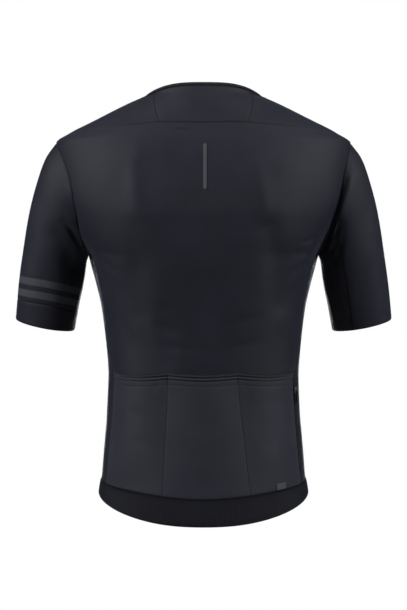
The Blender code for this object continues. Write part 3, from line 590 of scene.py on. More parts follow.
def node(tree, kind, settings=None, **links):
    """Adds a node, or takes one that is there. A plain word as its settings is its operation.

    Links name its inputs, each with a value, another node's output, or a node for its first output.
    """
    made = kind if isinstance(kind, bpy.types.Node) else tree.nodes.new(kind)
    if isinstance(settings, str):
        settings = {"operation": settings}
    for key, value in (settings or {}).items():
        setattr(made, key, value)
    for key, value in links.items():
        socket = made.inputs[int(key[1:]) if key[1:].isdigit() else key.replace("_", " ")]
        if isinstance(value, bpy.types.Node):
            value = value.outputs[0]
        if isinstance(value, bpy.types.NodeSocket):
            tree.links.new(value, socket)
        else:
            socket.default_value = value
    return made


def new_material(name):
    """A material, its node tree and its shader."""
    made = bpy.data.materials.new(name)
    made.use_nodes = True
    return made, made.node_tree, made.node_tree.nodes["Principled BSDF"]


COURSE_SHARE = 0.8  # a course's height against a wale's width
# the near black of the painted shade along seams and rows of stitches
PAINTED_SHADE_COLOUR = "#010104"
CLOUD_SCALE = 14.0  # clouds of dye about 70 mm wide


def knit(name, dark, light, pitch, roughness, sheen, relief, specular=0.22):
    """A fine knit: rows of small loops, each wale a soft rib, with a little cloudiness in the dye."""
    made, tree, shader = new_material(name)
    cut = node(tree, "ShaderNodeSeparateXYZ", Vector=node(tree, "ShaderNodeUVMap", {"uv_map": "cut"}))
    turns = 2 * math.pi / (pitch * MM)
    wale = node(tree, "ShaderNodeMath", "MULTIPLY", i0=cut.outputs["X"], i1=turns)
    course = node(tree, "ShaderNodeMath", "MULTIPLY", i0=cut.outputs["Y"], i1=turns / COURSE_SHARE)
    bow = node(tree, "ShaderNodeMath", "SINE", i0=wale)
    loop_place = node(tree, "ShaderNodeMath", "MULTIPLY_ADD", i0=bow, i1=0.9, i2=course)
    loop = node(tree, "ShaderNodeMath", "SINE", i0=loop_place)
    height = node(tree, "ShaderNodeMath", "MULTIPLY_ADD", i0=bow, i1=0.6, i2=loop)
    bump = node(tree, "ShaderNodeBump", Strength=relief, Distance=0.15 * MM, Height=height)
    place = node(tree, "ShaderNodeTexCoord").outputs["Object"]
    cloud = node(tree, "ShaderNodeTexNoise", Vector=place, Scale=CLOUD_SCALE, Detail=3.0, Roughness=0.55)
    grain = node(tree, "ShaderNodeMath", "MULTIPLY_ADD", i0=height, i1=0.10, i2=cloud)
    tone = node(tree, "ShaderNodeMapRange", Value=grain, i1=0.25, i2=0.75)
    dye = node(tree, "ShaderNodeMix", {"data_type": "RGBA"}, Factor=tone, i6=linear(dark), i7=linear(light))
    # Painted shade: where the attribute marks seams and rows of stitches, the dye is darkened to near black and
    # dulled.
    pressed = node(tree, "ShaderNodeAttribute", {"attribute_name": "pressed"}).outputs["Fac"]
    colour = node(tree, "ShaderNodeMix", {"data_type": "RGBA"}, Factor=pressed, i6=dye.outputs[2],
                  i7=linear(PAINTED_SHADE_COLOUR))
    dull = node(tree, "ShaderNodeMapRange", Value=pressed, i3=roughness, i4=1.0)
    node(tree, shader, Base_Color=colour.outputs[2], Roughness=dull, Normal=bump, IOR=1.5,
         Specular_IOR_Level=specular, Sheen_Weight=sheen, Sheen_Roughness=0.45, Sheen_Tint=linear("#b9c0d6"))
    return made


# Polyester and elastane warp knit, dyed black: matt in its loops, with a faint silky sheen across folds.
# Its wales are 0.5 mm apart, drawn at 1.1 mm so that they show.
body_knit = knit("black_warp_knit", "#0c0e18", "#151722", pitch=1.1, roughness=0.60, sheen=0.06, relief=0.35)

grid, over = back_rows()
rows = np.arange(ARMPIT_ROW, len(grid))
mitres = ((LEFT, rows, 0, over), (RIGHT, rows, -1, over))
sewn("back_panel", *body_grid(grid, mitres), body_knit)


# ------------------------------ neck panel
# The back of the yoke, between the two fronts' shoulders. It is cut from the same warp knit, and seamed
# to the back panel below it and to a front on each side.

NECK_RISE, NECK_DROP, NECK_SQUARENESS = 16.3, 82.0, 3.6
NECK_HALF_WIDTH, NECK_DEPTH = 91.0, 67.0
NECK_LINE_DIRECTION = 62.8
NECK_PANEL_TURN = (49.7, -15.4)
BINDING_WIDTH = 5.0
CHEST_ROWS, NECK_ROWS, NECK_SIDE_ROWS = 4, 6, 2


def neck_edge(direction):
    """Height of the neck's edge in each direction."""
    angle = np.radians(np.abs(direction))
    turn = np.maximum(np.tan(np.minimum(angle, 1.57)), 1e-6)
    behind = 1 / np.sqrt(1 + (NECK_HALF_WIDTH / NECK_DEPTH / turn) ** 2)
    fall = np.clip((1 - np.cos(2 * angle - math.pi)) / 2, 0, 1) ** 1.2
    back_height = NECK_RISE * (1 - behind ** NECK_SQUARENESS)
    return np.where(angle < math.pi / 2, back_height, -NECK_DROP * fall)


def binding_edge(direction):
    """Height of the binding's lower edge, its width down the cloth from the neck's edge."""
    top = neck_edge(direction)
    stretch = np.linalg.norm(body(direction, top) - body(direction, top - 1.0), axis=-1)
    return top - BINDING_WIDTH / stretch


def neck_panel_side(side):
    start = (NECK_LINE_DIRECTION, float(binding_edge(NECK_LINE_DIRECTION)))
    return mirrored(along((start, NECK_PANEL_TURN, YOKE_SEAM[0]), NECK_SIDE_ROWS), side)


bottom = shared_row(-YOKE_SEAM[0][0], YOKE_SEAM[0][0], NECK_COLUMNS, yoke_height)
top = shared_row(-NECK_LINE_DIRECTION, NECK_LINE_DIRECTION, NECK_COLUMNS, binding_edge)
grid = patch(bottom, top, neck_panel_side(LEFT)[::-1], neck_panel_side(RIGHT)[::-1])
sewn("neck_panel", *body_grid(grid), body_knit)


# ------------------------------ fronts
# Two mirrored fronts of the same knit, each cut in one with its shoulder. Each is sewn to the zip, to a
# side panel, and over the shoulder to the yoke seam behind.

ZIP_HALF, FRONT_SIDE_SEAM = 5.5, 107.0


def zip_direction(height):
    """Direction of the front's edge beside the zip."""
    return 180.0 - np.degrees(ZIP_HALF / section(height)[2])


def front_seam(side):
    return side_seam(side, FRONT_SIDE_SEAM, FRONT_SIDE_SEAM, (), armhole(side, FRONT_SEAM_STEP))


def neck_line(side):
    """Under the binding, from the zip round to the neck panel."""
    start = float(zip_direction(-NECK_DROP))
    directions = np.linspace(start, NECK_LINE_DIRECTION, NECK_ROWS * FINE + 1)
    return mirrored(pairs(directions, binding_edge(directions)), side)


def centre_front(side):
    """The front's edge beside the zip, from the hem band to the binding."""
    low = low_rows(180.0, 180.0, LOW_SHARES)[:, 1]
    middle = np.linspace(POCKET_MOUTH, armhole(side, FRONT_SEAM_STEP)[1], MIDDLE_ROWS * FINE + 1)
    chest = np.linspace(middle[-1], neck_line(RIGHT)[0, 1], CHEST_ROWS * FINE + 1)
    height = np.concatenate([low, middle[1:], chest[1:]])
    return mirrored(pairs(zip_direction(height), height), side)


def front_rows(side):
    """A front's grid, from the zip to the side seam and from the hem over the shoulder to the yoke seam."""
    middle = chain(centre_front(side), neck_line(side), neck_panel_side(side))
    over = fine_steps(FRONT_SEAM_STEP, YOKE_STEP)
    outer = chain(front_seam(side), armhole(side, over))
    bottom = shared_row(middle[0, 0], outer[0, 0], FRONT_COLUMNS, hem_top)
    return patch(bottom, yoke_seam(side), middle, outer), over


for side in (LEFT, RIGHT):
    grid, over = front_rows(side)
    mitres = ((side, np.arange(ARMPIT_ROW, len(grid)), -1, over),)
    sewn(f"front_{SIDE_NAMES[side]}", *body_grid(grid, mitres), body_knit)


# ------------------------------ side panels
# A long narrow gusset of the same knit under each arm, from the hem to the armhole. It is sewn in
# between the back and the front.

def side_rows(side):
    behind, before = back_seam(side), front_seam(side)
    steps = fine_steps(BACK_SEAM_STEP, FRONT_SEAM_STEP)
    bottom = shared_row(behind[0, 0], before[0, 0], FRONT_SEAM_STEP - BACK_SEAM_STEP, hem_top)
    return patch(bottom, armhole(side, steps), behind, before), steps


for side in (LEFT, RIGHT):
    grid, steps = side_rows(side)
    mitres = ((side, -1, np.arange(len(steps)), steps),)
    sewn(f"side_{SIDE_NAMES[side]}", *body_grid(grid, mitres), body_knit)


# ------------------------------ sleeves
# Each sleeve is an upper piece and an underarm piece of the same knit, sewn into the armhole. The left
# one has two narrow hoops printed above a set-on cuff; the right one runs plain to its edge.

CUFF_SEAM_OUTER, CUFF_SEAM_INNER = 0.885, 0.760
UNDERARM_STEPS = {LEFT: (13, 25), RIGHT: (10, 22)}
SLEEVE_ROWS = 11
HOOPS, INK_EDGE = ((8.0, 19.0), (27.0, 38.0)), 0.25


def sleeve_places(steps, first, last, rows):
    """Places down the sleeve, row by row. A cuff seam lies the cuff's width above the edge all round."""
    angle = np.asarray(steps, float) * 2 * math.pi / ARMHOLE_STEPS
    seam = CUFF_SEAM_INNER + (CUFF_SEAM_OUTER - CUFF_SEAM_INNER) * (1 + np.cos(angle)) / 2
    ends = {"armhole": np.zeros(len(angle)), "cuff seam": seam, "edge": np.ones(len(angle))}
    share = np.linspace(0, 1, rows * FINE + 1)[:, None]
    return ends[first] + (ends[last] - ends[first]) * share


def sleeve_piece(name, side, steps, first, last, rows, finish, closed=False):
    places = sleeve_places(steps, first, last, rows)
    points, normals = sleeve(side, steps, places), sleeve_normal(side, steps, places)
    if first == "armhole":
        normals[0] = armhole_normal(side, steps)
    points = points + normals * cloth_lift(points)[..., None]
    lengths = run_lengths(points, 0)
    sewn(name, points, normals, finish, closed=closed, attributes={"above_seam": lengths[-1:] - lengths})


def printed(name, base, hoops, ink):
    """The knit again, with hoops of flat ink printed at heights above the cuff seam (mm)."""
    made = base.copy()
    made.name = name
    tree = made.node_tree
    shader = tree.nodes["Principled BSDF"]
    height = node(tree, "ShaderNodeAttribute", {"attribute_name": "above_seam"}).outputs["Fac"]
    inside = 0.0
    for low, high in hoops:
        over_low = node(tree, "ShaderNodeMapRange", Value=height, i1=low - INK_EDGE, i2=low + INK_EDGE)
        under_high = node(tree, "ShaderNodeMapRange", Value=height, i1=high + INK_EDGE, i2=high - INK_EDGE)
        inside = node(tree, "ShaderNodeMath", "MULTIPLY_ADD", i0=over_low, i1=under_high, i2=inside)
    cloth = shader.inputs["Base Color"].links[0].from_socket
    mixed = node(tree, "ShaderNodeMix", {"data_type": "RGBA"}, Factor=inside, i6=cloth, i7=linear(ink))
    node(tree, shader, Base_Color=mixed.outputs[2])
    return made


# Pigment ink transferred into the knit: a flat mid grey, a little duller than the cloth round it.
hooped_knit = printed("knit_with_printed_hoops", body_knit, HOOPS, "#34353a")

for side in (LEFT, RIGHT):
    name, (behind, before) = SIDE_NAMES[side], UNDERARM_STEPS[side]
    last = "cuff seam" if side == LEFT else "edge"
    finish = hooped_knit if side == LEFT else body_knit
    upper = fine_steps(before - ARMHOLE_STEPS, behind)
    sleeve_piece(f"sleeve_{name}", side, upper, "armhole", last, SLEEVE_ROWS, finish)
    sleeve_piece(f"underarm_{name}", side, fine_steps(behind, before), "armhole", last, SLEEVE_ROWS, finish)
around = fine_steps(0, ARMHOLE_STEPS)[:-1]
sleeve_piece("cuff_left", LEFT, around, "cuff seam", "edge", 2, body_knit, closed=True)


# ------------------------------ neck binding
# A folded strip of close rib knit, sewn over the raw neck edge. Its roll stands a little proud of the
# cloth beside it.

BINDING_WALL, BINDING_PROUD, BINDING_ROLL = 2.0, 0.5, 0.35

# Rib-knit polyester binding, dyed black: dull, with ribs across its width 1 mm apart.
binding_rib = knit("black_rib_binding", "#0d0e16", "#14151e", pitch=1.0, roughness=0.75, sheen=0.06, relief=0.8)

behind = np.linspace(-NECK_LINE_DIRECTION, NECK_LINE_DIRECTION, NECK_COLUMNS * FINE + 1)
direction = chain(neck_line(LEFT)[:, 0], behind, neck_line(RIGHT)[::-1, 0])
share = np.linspace(0, 1, 7)[:, None]
height = binding_edge(direction) + (neck_edge(direction) - binding_edge(direction)) * share
sewn("neck_binding", *body_grid(pairs(direction, height)), binding_rib, "binding", wall=BINDING_WALL,
     proud=BINDING_PROUD + BINDING_ROLL * np.sin(math.pi * share), seam_dip=0.3)


# ------------------------------ hem band
# A wide elastic of polyester and rubber, sewn under the panels. It is woven in upright ribs, which grip,
# and holds the hem close.

HEM_BOTTOM, HEM_BOTTOM_TAIL = -608.0, 42.0
HEM_RIB_PITCH, HEM_RIB_HEIGHT, HEM_COLUMNS = 2.6, 0.12, 2231
BAND_WALL, BAND_PROUD = 1.8, 1.4
BAND_SHADE = 4.0  # how far below its seam the elastic lies in the seam's shade


def hem_bottom(direction):
    """The bottom edge: its tail is fuller than the seam above, and turns up close to the sides."""
    forward = np.cos(np.radians(direction))
    behind = np.maximum(forward, 0)
    drop = HEM_BOTTOM_TAIL * behind * (0.45 + 0.55 * behind * (3 - 2 * behind))
    return HEM_BOTTOM - drop + HEM_FRONT_RISE * np.maximum(-forward, 0)


def new_tree(name, inputs):
    """An empty geometry tree with its named inputs. Gives the tree, its inputs' sockets and its output node."""
    tree = bpy.data.node_groups.new(name, "GeometryNodeTree")
    tree.interface.new_socket("Geometry", in_out="INPUT", socket_type="NodeSocketGeometry")
    for key, kind, value in (*inputs, ("Material", "Material", None)):
        made = tree.interface.new_socket(key, in_out="INPUT", socket_type=f"NodeSocket{kind}")
        if value is not None:
            made.default_value = value
    tree.interface.new_socket("Geometry", in_out="OUTPUT", socket_type="NodeSocketGeometry")
    return tree, tree.nodes.new("NodeGroupInput").outputs, tree.nodes.new("NodeGroupOutput")


def end_tree(tree, geometry, given, result):
    real = node(tree, "GeometryNodeRealizeInstances", Geometry=geometry)
    node(tree, result, i0=node(tree, "GeometryNodeSetMaterial", Geometry=real, Material=given["Material"]))


def grown(piece, tree, values):
    """Runs a tree on a piece, its inputs set by their identifiers, and keeps what it makes as a plain mesh."""
    ids = {item.name: item.identifier for item in tree.interface.items_tree
           if item.item_type == "SOCKET" and item.in_out == "INPUT"}
    made = piece.modifiers.new(tree.name, "NODES")
    made.node_group = tree
    for key, value in values.items():
        made[ids[key]] = value
    mesh = bpy.data.meshes.new_from_object(piece.evaluated_get(bpy.context.evaluated_depsgraph_get()))
    piece.modifiers.remove(made)
    mesh.name = piece.name
    piece.data = mesh


def hem_directions():
    """The hem's directions from the left front's zip edge round the back to the right front's."""
    back = back_rows()[0][0, :, 0]
    right = chain(side_rows(RIGHT)[0][0, :, 0], front_rows(RIGHT)[0][0, ::-1, 0])
    left = chain(side_rows(LEFT)[0][0, :, 0], front_rows(LEFT)[0][0, ::-1, 0])
    return chain(left[::-1], back, right)


rib_tree, given, result = new_tree("upright_ribs", (
    ("Pitch", "Float", HEM_RIB_PITCH * MM), ("Height", "Float", HEM_RIB_HEIGHT * MM)))
place = node(rib_tree, "GeometryNodeInputNamedAttribute", {"data_type": "FLOAT"}, Name="round_hem")
upright = node(rib_tree, "GeometryNodeInputNamedAttribute", {"data_type": "FLOAT"}, Name="outside")
turns = node(rib_tree, "ShaderNodeMath", "DIVIDE", i0=place, i1=given["Pitch"])
angle = node(rib_tree, "ShaderNodeMath", "MULTIPLY", i0=turns, i1=2 * math.pi)
wave = node(rib_tree, "ShaderNodeMath", "SINE", i0=angle)
rise = node(rib_tree, "ShaderNodeMath", "MULTIPLY", i0=wave, i1=given["Height"])
rise = node(rib_tree, "ShaderNodeMath", "MULTIPLY", i0=rise, i1=upright)
move = node(rib_tree, "ShaderNodeVectorMath", "SCALE", i0=node(rib_tree, "GeometryNodeInputNormal"), Scale=rise)
ribbed = node(rib_tree, "GeometryNodeSetPosition", Geometry=given["Geometry"], Offset=move)
end_tree(rib_tree, ribbed, given, result)

# Woven elastic of black polyester and rubber: matt, a touch bluer and closer in weave than the knit.
# Its threads are 0.4 mm apart, drawn at 0.9 mm so that they show.
gripper_elastic = knit("black_gripper_elastic", "#03040c", "#060713", pitch=0.9, roughness=0.6, sheen=0.07,
                       relief=0.5, specular=0.16)

coarse = hem_directions()
direction = np.interp(np.linspace(0, len(coarse) - 1, HEM_COLUMNS), np.arange(len(coarse)), coarse)
shares = np.array([0.0, 0.04, 0.10, 0.24, 0.40, 0.56, 0.72, 0.86, 0.94, 1.0])[:, None]
height = hem_bottom(direction) + (hem_top(direction) - hem_bottom(direction)) * shares
points, normals = body_grid(pairs(direction, height))
ribs = {"round_hem": run_lengths(points, 1)[4:5] * MM,
        "outside": np.clip(np.minimum(shares, 1 - shares) / 0.12, 0, 1)}
# Painted shade on the elastic just under its seam.
shaded = 0.75 * bell(hem_top(direction) - height, BAND_SHADE)
sewn("hem_band", points, normals, gripper_elastic, "gripper_elastic", "hem_band_elastic", wall=BAND_WALL,
     proud=BAND_PROUD, seam_dip=1.1, pressed=shaded, attributes=ribs,
     grow=(rib_tree, {"Pitch": HEM_RIB_PITCH * MM, "Height": HEM_RIB_HEIGHT * MM, "Material": gripper_elastic}))


# ------------------------------ pockets
# Three open pockets of closer, sheenier knit on the lower back. Each mouth has a turned hem held by two
# rows of stitches, and slanting rows of stitches part the pockets.

POCKET_WALL, POCKET_DEPTH, POCKET_FULLNESS, POCKET_SAG = 1.0, 9.0, 5.0, 3.0
POCKETS = ["pocket_left", "pocket_centre", "pocket_right"]
MOUTH_HEM, MOUTH_STITCHES, MOUTH_FACING = 10.8, (5.0, 9.8), 18.0
MOUTH_HEM_RISE, MOUTH_STITCH_DEPTH, MOUTH_FACING_RISE = 0.5, 1.3, 0.25
# how far from each line the cloth still steps down, dips, rises or carries painted shadow
HEM_STEP, STITCH_REACH, FACING_REACH, MOUTH_REACH = 0.4, 1.1, 1.6, 1.5

# Brushed warp knit of the same yarn: it catches the light more than the body cloth.
# Its wales are 0.5 mm apart, drawn at 1.2 mm so that they show.
pocket_knit = knit("black_pocket_knit", "#16171f", "#1f202a", pitch=1.2, roughness=0.62, sheen=0.2, relief=0.3)

# from (x, z), to (x, z), bow, height, half width: gathers under the mouths and soft slack below them
POCKET_CREASES = {
    BACK: (
        (-59, -424, -50, -462, 2, -1, 4),
        (-54, -424, -41, -448, 1, 0.8, 4),
        (-66, -424, -74, -452, 1.5, -0.8, 4.5),
        (52, -424, 42, -458, 2, -1, 4),
        (57, -424, 66, -456, 1.5, -0.9, 4.5),
        (-30, -462, 26, -476, -4, -0.35, 8),
        (-36, -508, 30, -500, 5, -0.35, 9),
        (-24, -546, 34, -552, 4, -0.35, 9),
        (-118, -470, -76, -486, -4, -0.35, 8),
        (-112, -520, -72, -538, 4, -0.35, 9),
        (76, -474, 122, -464, 4, -0.35, 8),
        (84, -532, 124, -516, -4, -0.35, 9),
    ),
}

shares = np.concatenate([np.linspace(0.0, 0.88, 56), np.linspace(0.88, 1.0, 42)[1:]])
for number, name in enumerate(POCKETS):
    grid = lower_back(shares)[:, POCKET_ENDS[number]: POCKET_ENDS[number + 1] + 1]
    points, normals = body_grid(grid)
    u, v = np.linspace(0, 1, grid.shape[1]), shares[:, None]
    fullness = np.sin(math.pi * u) ** 1.2 * np.sin(math.pi / 2 * v) ** 0.8
    creases = crease_lift(points, POCKET_CREASES) * np.sin(math.pi * u) ** 0.4
    lift = SEAM_GAP + POCKET_FULLNESS * fullness + creases
    points = points + normals * np.maximum(lift, SEAM_GAP)[..., None]
    points[..., 2] -= POCKET_SAG * np.sin(math.pi * u) * np.clip((v - 0.8) / 0.2, 0, 1)
    down = run_lengths(points, 0)[-1:] - run_lengths(points, 0)
    hem = MOUTH_HEM_RISE / (1 + np.exp((down - MOUTH_HEM) / HEM_STEP))
    rows = sum(bell(down - row, STITCH_REACH) for row in MOUTH_STITCHES)
    facing = MOUTH_FACING_RISE * bell(down - MOUTH_FACING, FACING_REACH)
    # Painted shade in the rows of stitches, and a painted shadow along the mouth's edge.
    sewn(name, points, normals, pocket_knit, "pocket_cloth", wall=POCKET_WALL,
         proud=POCKET_WALL + hem - MOUTH_STITCH_DEPTH * rows - facing, seam_dip=0.9, side_dip=0.58,
         pressed=0.45 * rows + 0.9 * bell(down, MOUTH_REACH))


# ------------------------------ front zip
# Two woven polyester tapes with moulded teeth down their meeting edges. They are sewn between the fronts,
# and closed to the neck.

TOOTH_PITCH, TOOTH_SIZE = 2.4, (1.1, 3.0, 0.8)


def row_tree(name, element, size):
    """A tree that sets one small part of a size (mm) along each line of a mesh, at a pitch, lying along it."""
    tree, given, result = new_tree(name, (("Pitch", "Float", TOOTH_PITCH * MM), ("Turn", "Float", 0.0),
                                          ("Unevenness", "Float", 0.0), ("Seed", "Int", 7)))
    curve = node(tree, "GeometryNodeMeshToCurve", Mesh=given["Geometry"])
    spaced = node(tree, "GeometryNodeResampleCurve", {"mode": "LENGTH"}, Curve=curve, Length=given["Pitch"])
    out = node(tree, "GeometryNodeInputNamedAttribute", {"data_type": "FLOAT_VECTOR"}, Name="out")
    axes = node(tree, "FunctionNodeAxesToRotation", {"primary_axis": "Z", "secondary_axis": "X"},
                i0=out, i1=node(tree, "GeometryNodeInputTangent"))
    random = node(tree, "FunctionNodeRandomValue", {"data_type": "FLOAT"}, i2=-1.0, i3=1.0, Seed=given["Seed"])
    jitter = node(tree, "ShaderNodeMath", "MULTIPLY_ADD", i0=random.outputs[1], i1=given["Unevenness"],
                  i2=given["Turn"])
    turned = node(tree, "FunctionNodeRotateRotation", {"rotation_space": "LOCAL"}, Rotation=axes,
                  Rotate_By=node(tree, "ShaderNodeCombineXYZ", Z=jitter))
    small = node(tree, "GeometryNodeTransform", Geometry=node(tree, element[0], i0=element[1]),
                 Scale=[length * MM for length in size])
    set_out = node(tree, "GeometryNodeInstanceOnPoints", Points=spaced, Instance=small, Rotation=turned)
    end_tree(tree, set_out, given, result)
    return tree


def set_along(name, runs, tree, slot, **values):
    """One small part after another along each run of (points, outward directions), as one piece."""
    mesh, points, outs, edges = bpy.data.meshes.new(name), [], [], []
    for run, out in runs:
        start = len(points)
        points += (np.asarray(run) * MM).tolist()
        outs += np.asarray(out).tolist()
        edges += [(i, i + 1) for i in range(start, len(points) - 1)]
    mesh.from_pydata(points, edges, [])
    mesh.attributes.new("out", "FLOAT_VECTOR", "POINT").data.foreach_set("vector", np.ravel(outs))
    piece = placed(name, mesh)
    grown(piece, tree, values)
    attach(piece, "jersey")


def smooth_finish(name, colour, roughness, metallic=0.0, grain=2.5):
    """A plain hard or coated surface. Its gloss is a little uneven, in a grain of so many millimetres."""
    made, tree, shader = new_material(name)
    place = node(tree, "ShaderNodeTexCoord").outputs["Object"]
    speckle = node(tree, "ShaderNodeTexNoise", Vector=place, Scale=1 / (grain * MM), Detail=2.0)
    shine = node(tree, "ShaderNodeMapRange", Value=speckle, i1=0.3, i2=0.7, i3=roughness * 0.85,
                 i4=min(roughness * 1.15, 1.0))
    bump = node(tree, "ShaderNodeBump", Strength=0.15, Distance=0.1 * MM, Height=speckle)
    node(tree, shader, Base_Color=linear(colour), Metallic=metallic, Roughness=shine, Normal=bump)
    return made


# Woven polyester tape, dyed black: flat and matt. Its threads are 0.4 mm apart, drawn at 0.9 mm so that
# they show.
tape_weave = knit("black_woven_tape", "#11131c", "#1a1c26", pitch=0.9, roughness=0.6, sheen=0.06, relief=0.4)
# Moulded acetal teeth: smooth black plastic with a soft shine.
tooth_acetal = smooth_finish("black_acetal_teeth", "#141518", roughness=0.38)

heights = np.concatenate([[float(hem_bottom(180.0))], centre_front(RIGHT)[:, 1], [-NECK_DROP]])[:, None]
tape_half = np.degrees(ZIP_HALF / section(heights)[2])
shares = np.array([-1.0, -0.8, -0.34, -0.28, 0.0, 0.28, 0.34, 0.8, 1.0])
grid = pairs(180.0 + tape_half * shares, heights)
sewn("front_zip_tape", *body_grid(grid), tape_weave, "zip_tape", "front_zip_woven_tape", wall=1.6,
     proud=0.2 + 0.35 * np.array([0, 0, 0, 1, 1.2, 1, 0, 0, 0]), seam_dip=0.2)

tooth = ("GeometryNodeMeshCube", (1.0, 1.0, 1.0))
teeth_tree = row_tree("zip_teeth", tooth, TOOTH_SIZE)


def zip_teeth(name, tape, rows, half, pitch, tree, raise_by=0.0):
    """Two rows of teeth that mesh down the middle of a tape, each tooth half a pitch from the other row's."""
    outer, normals = SURFACES[tape]
    middle = outer.shape[1] // 2
    line, out = outer[rows, middle] + normals[rows, middle] * raise_by, normals[rows, middle]
    way = unit(np.gradient(line, axis=0))
    aside = np.cross(out, way) * half
    set_along(name, ((line + aside, out), (line - aside + way * pitch / 2, out)), tree, "zip_tape",
              Pitch=pitch * MM, Turn=0.0, Unevenness=0.0, Seed=3, Material=tooth_acetal)


zip_teeth("front_zip_teeth", "front_zip_tape", slice(5, -4), half=1.0, pitch=TOOTH_PITCH, tree=teeth_tree,
          raise_by=0.1)


# ------------------------------ side zip
# A short zip for the key pocket: the same tape with a fine coil down its middle, let into the side panel
# beside the right pocket.

SIDE_ZIP_ROWS, SIDE_ZIP_COLUMNS = (1, 6), (0.03, 0.24)
COIL_PITCH, COIL_SIZE = 1.1, (0.6, 1.3, 0.5)

points, normals = body_grid(side_rows(RIGHT)[0])
rows = slice(SIDE_ZIP_ROWS[0] * FINE, SIDE_ZIP_ROWS[1] * FINE + 1)
columns = np.linspace(*SIDE_ZIP_COLUMNS, 7) * FINE
low = columns.astype(int)
part = (columns - low)[:, None]
points, normals = (layer[rows, low] * (1 - part) + layer[rows, low + 1] * part for layer in (points, normals))
normals = unit(normals)
sewn("side_zip_tape", points + normals * SEAM_GAP, normals, tape_weave, "zip_tape", "side_zip_woven_tape",
     wall=1.1, proud=1.1 + 0.25 * np.array([0, 0, 0.8, 1, 0.8, 0, 0]), seam_dip=0.2)
coil_tree = row_tree("zip_coil", tooth, COIL_SIZE)
zip_teeth("side_zip_coil", "side_zip_tape", slice(4, -4), half=0.45, pitch=COIL_PITCH, tree=coil_tree)


# ------------------------------ zip sliders and pulls
# Die-cast zinc sliders with a bridge, plated, and flat stamped steel pull tabs, lacquered black, which
# swing in them. Their rims are rounded by tumbling.

# Gunmetal plating over die-cast zinc: dark, smooth metal that flashes where it catches the light.
gunmetal = smooth_finish("gunmetal_plating", "#a8a9ae", roughness=0.42, metallic=1.0, grain=1.111)
# Black lacquer baked on stamped steel: smooth, with a soft shine along the rims.
lacquer = smooth_finish("black_baked_lacquer", "#0b0c0e", roughness=0.35, grain=1.111)

# rounding of the rims, body, finish
METAL = {
    "front_zip_slider": (0.35, "jersey", gunmetal),
    "side_zip_slider": (0.30, "jersey", gunmetal),
    "front_zip_pull": (0.16, "front_pull", lacquer),
    "side_zip_pull": (0.14, "side_pull", lacquer),
}
for name, (rim, body_name, finish) in METAL.items():
    piece = placed(f"{name}_cast", bpy.data.objects[name].data.copy())
    shape = bmesh.new()
    shape.from_mesh(piece.data)
    bmesh.ops.remove_doubles(shape, verts=shape.verts, dist=1e-6)
    bmesh.ops.dissolve_limit(shape, angle_limit=math.radians(1.0), verts=shape.verts, edges=shape.edges)
    shape.to_mesh(piece.data)
    shape.free()
    rounded = piece.modifiers.new("rounded rims", "BEVEL")
    rounded.width, rounded.segments, rounded.limit_method = rim * MM, 3, "ANGLE"
    rounded.angle_limit = math.radians(30)
    mesh = bpy.data.meshes.new_from_object(piece.evaluated_get(bpy.context.evaluated_depsgraph_get()))
    piece.modifiers.remove(rounded)
    piece.data = mesh
    mesh.materials.clear()
    mesh.materials.append(finish)
    mesh.shade_smooth()
    mesh.set_sharp_from_angle(angle=math.radians(40))
    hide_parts(name)
    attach(piece, body_name)


# ------------------------------ reflective strip
# A narrow strip of reflective film with rounded ends, heat-bonded to the knit down the centre of the
# upper back.

STRIP_WIDTH, STRIP_TOP, STRIP_BOTTOM, STRIP_PLACE = 5.6, -79.5, -148.0, 2.0
TRIM_GAP, TRIM_WALL = 0.45, 0.5
BEAD = 0.7


def beaded_film(name, dark, light):
    """Film full of glass beads: dull grey by daylight, with a fine even speckle."""
    made, tree, shader = new_material(name)
    place = node(tree, "ShaderNodeTexCoord").outputs["Object"]
    beads = node(tree, "ShaderNodeTexVoronoi", Vector=place, Scale=1 / (BEAD * MM))
    colour = node(tree, "ShaderNodeMix", {"data_type": "RGBA"}, Factor=beads, i6=linear(light), i7=linear(dark))
    bump = node(tree, "ShaderNodeBump", Strength=0.2, Distance=0.1 * MM, Height=beads)
    node(tree, shader, Base_Color=colour.outputs[2], Roughness=0.45, Normal=bump)
    return made


# Glass-bead retroreflective film, silver grey: its beads are 0.05 mm, drawn at 0.7 mm so that they show.
grey_film = beaded_film("grey_reflective_film", "#323337", "#404146")

share = np.linspace(0, 1, 49)[:, None]
height = STRIP_BOTTOM + (STRIP_TOP - STRIP_BOTTOM) * share
from_end = np.minimum(share, 1 - share) * (STRIP_TOP - STRIP_BOTTOM) / (STRIP_WIDTH / 2)
rounding = np.sqrt(np.clip(1 - (1 - np.clip(from_end, 0, 1)) ** 2, 0.12, 1))
aside = np.linspace(-1, 1, 5) * rounding * STRIP_WIDTH / 2
points, normals = body_grid(pairs(np.degrees((STRIP_PLACE + aside) / section(height)[1]), height))
sewn("reflective_strip", points + normals * TRIM_GAP, normals, grey_film, "reflective_film",
     "reflective_strip_film", wall=TRIM_WALL, proud=TRIM_WALL, seam_dip=0.12)


# ------------------------------ hem tab
# A small folded tab of the same film on tape, caught in the hem seam under the right pocket. It stands
# up against the pocket's cloth.

TAB_WIDTH, TAB_HEIGHT, TAB_DIRECTION = 15.7, 10.0, 53.6
TAB_REACH = 142.0  # from the body's middle line to the cloth under the tab

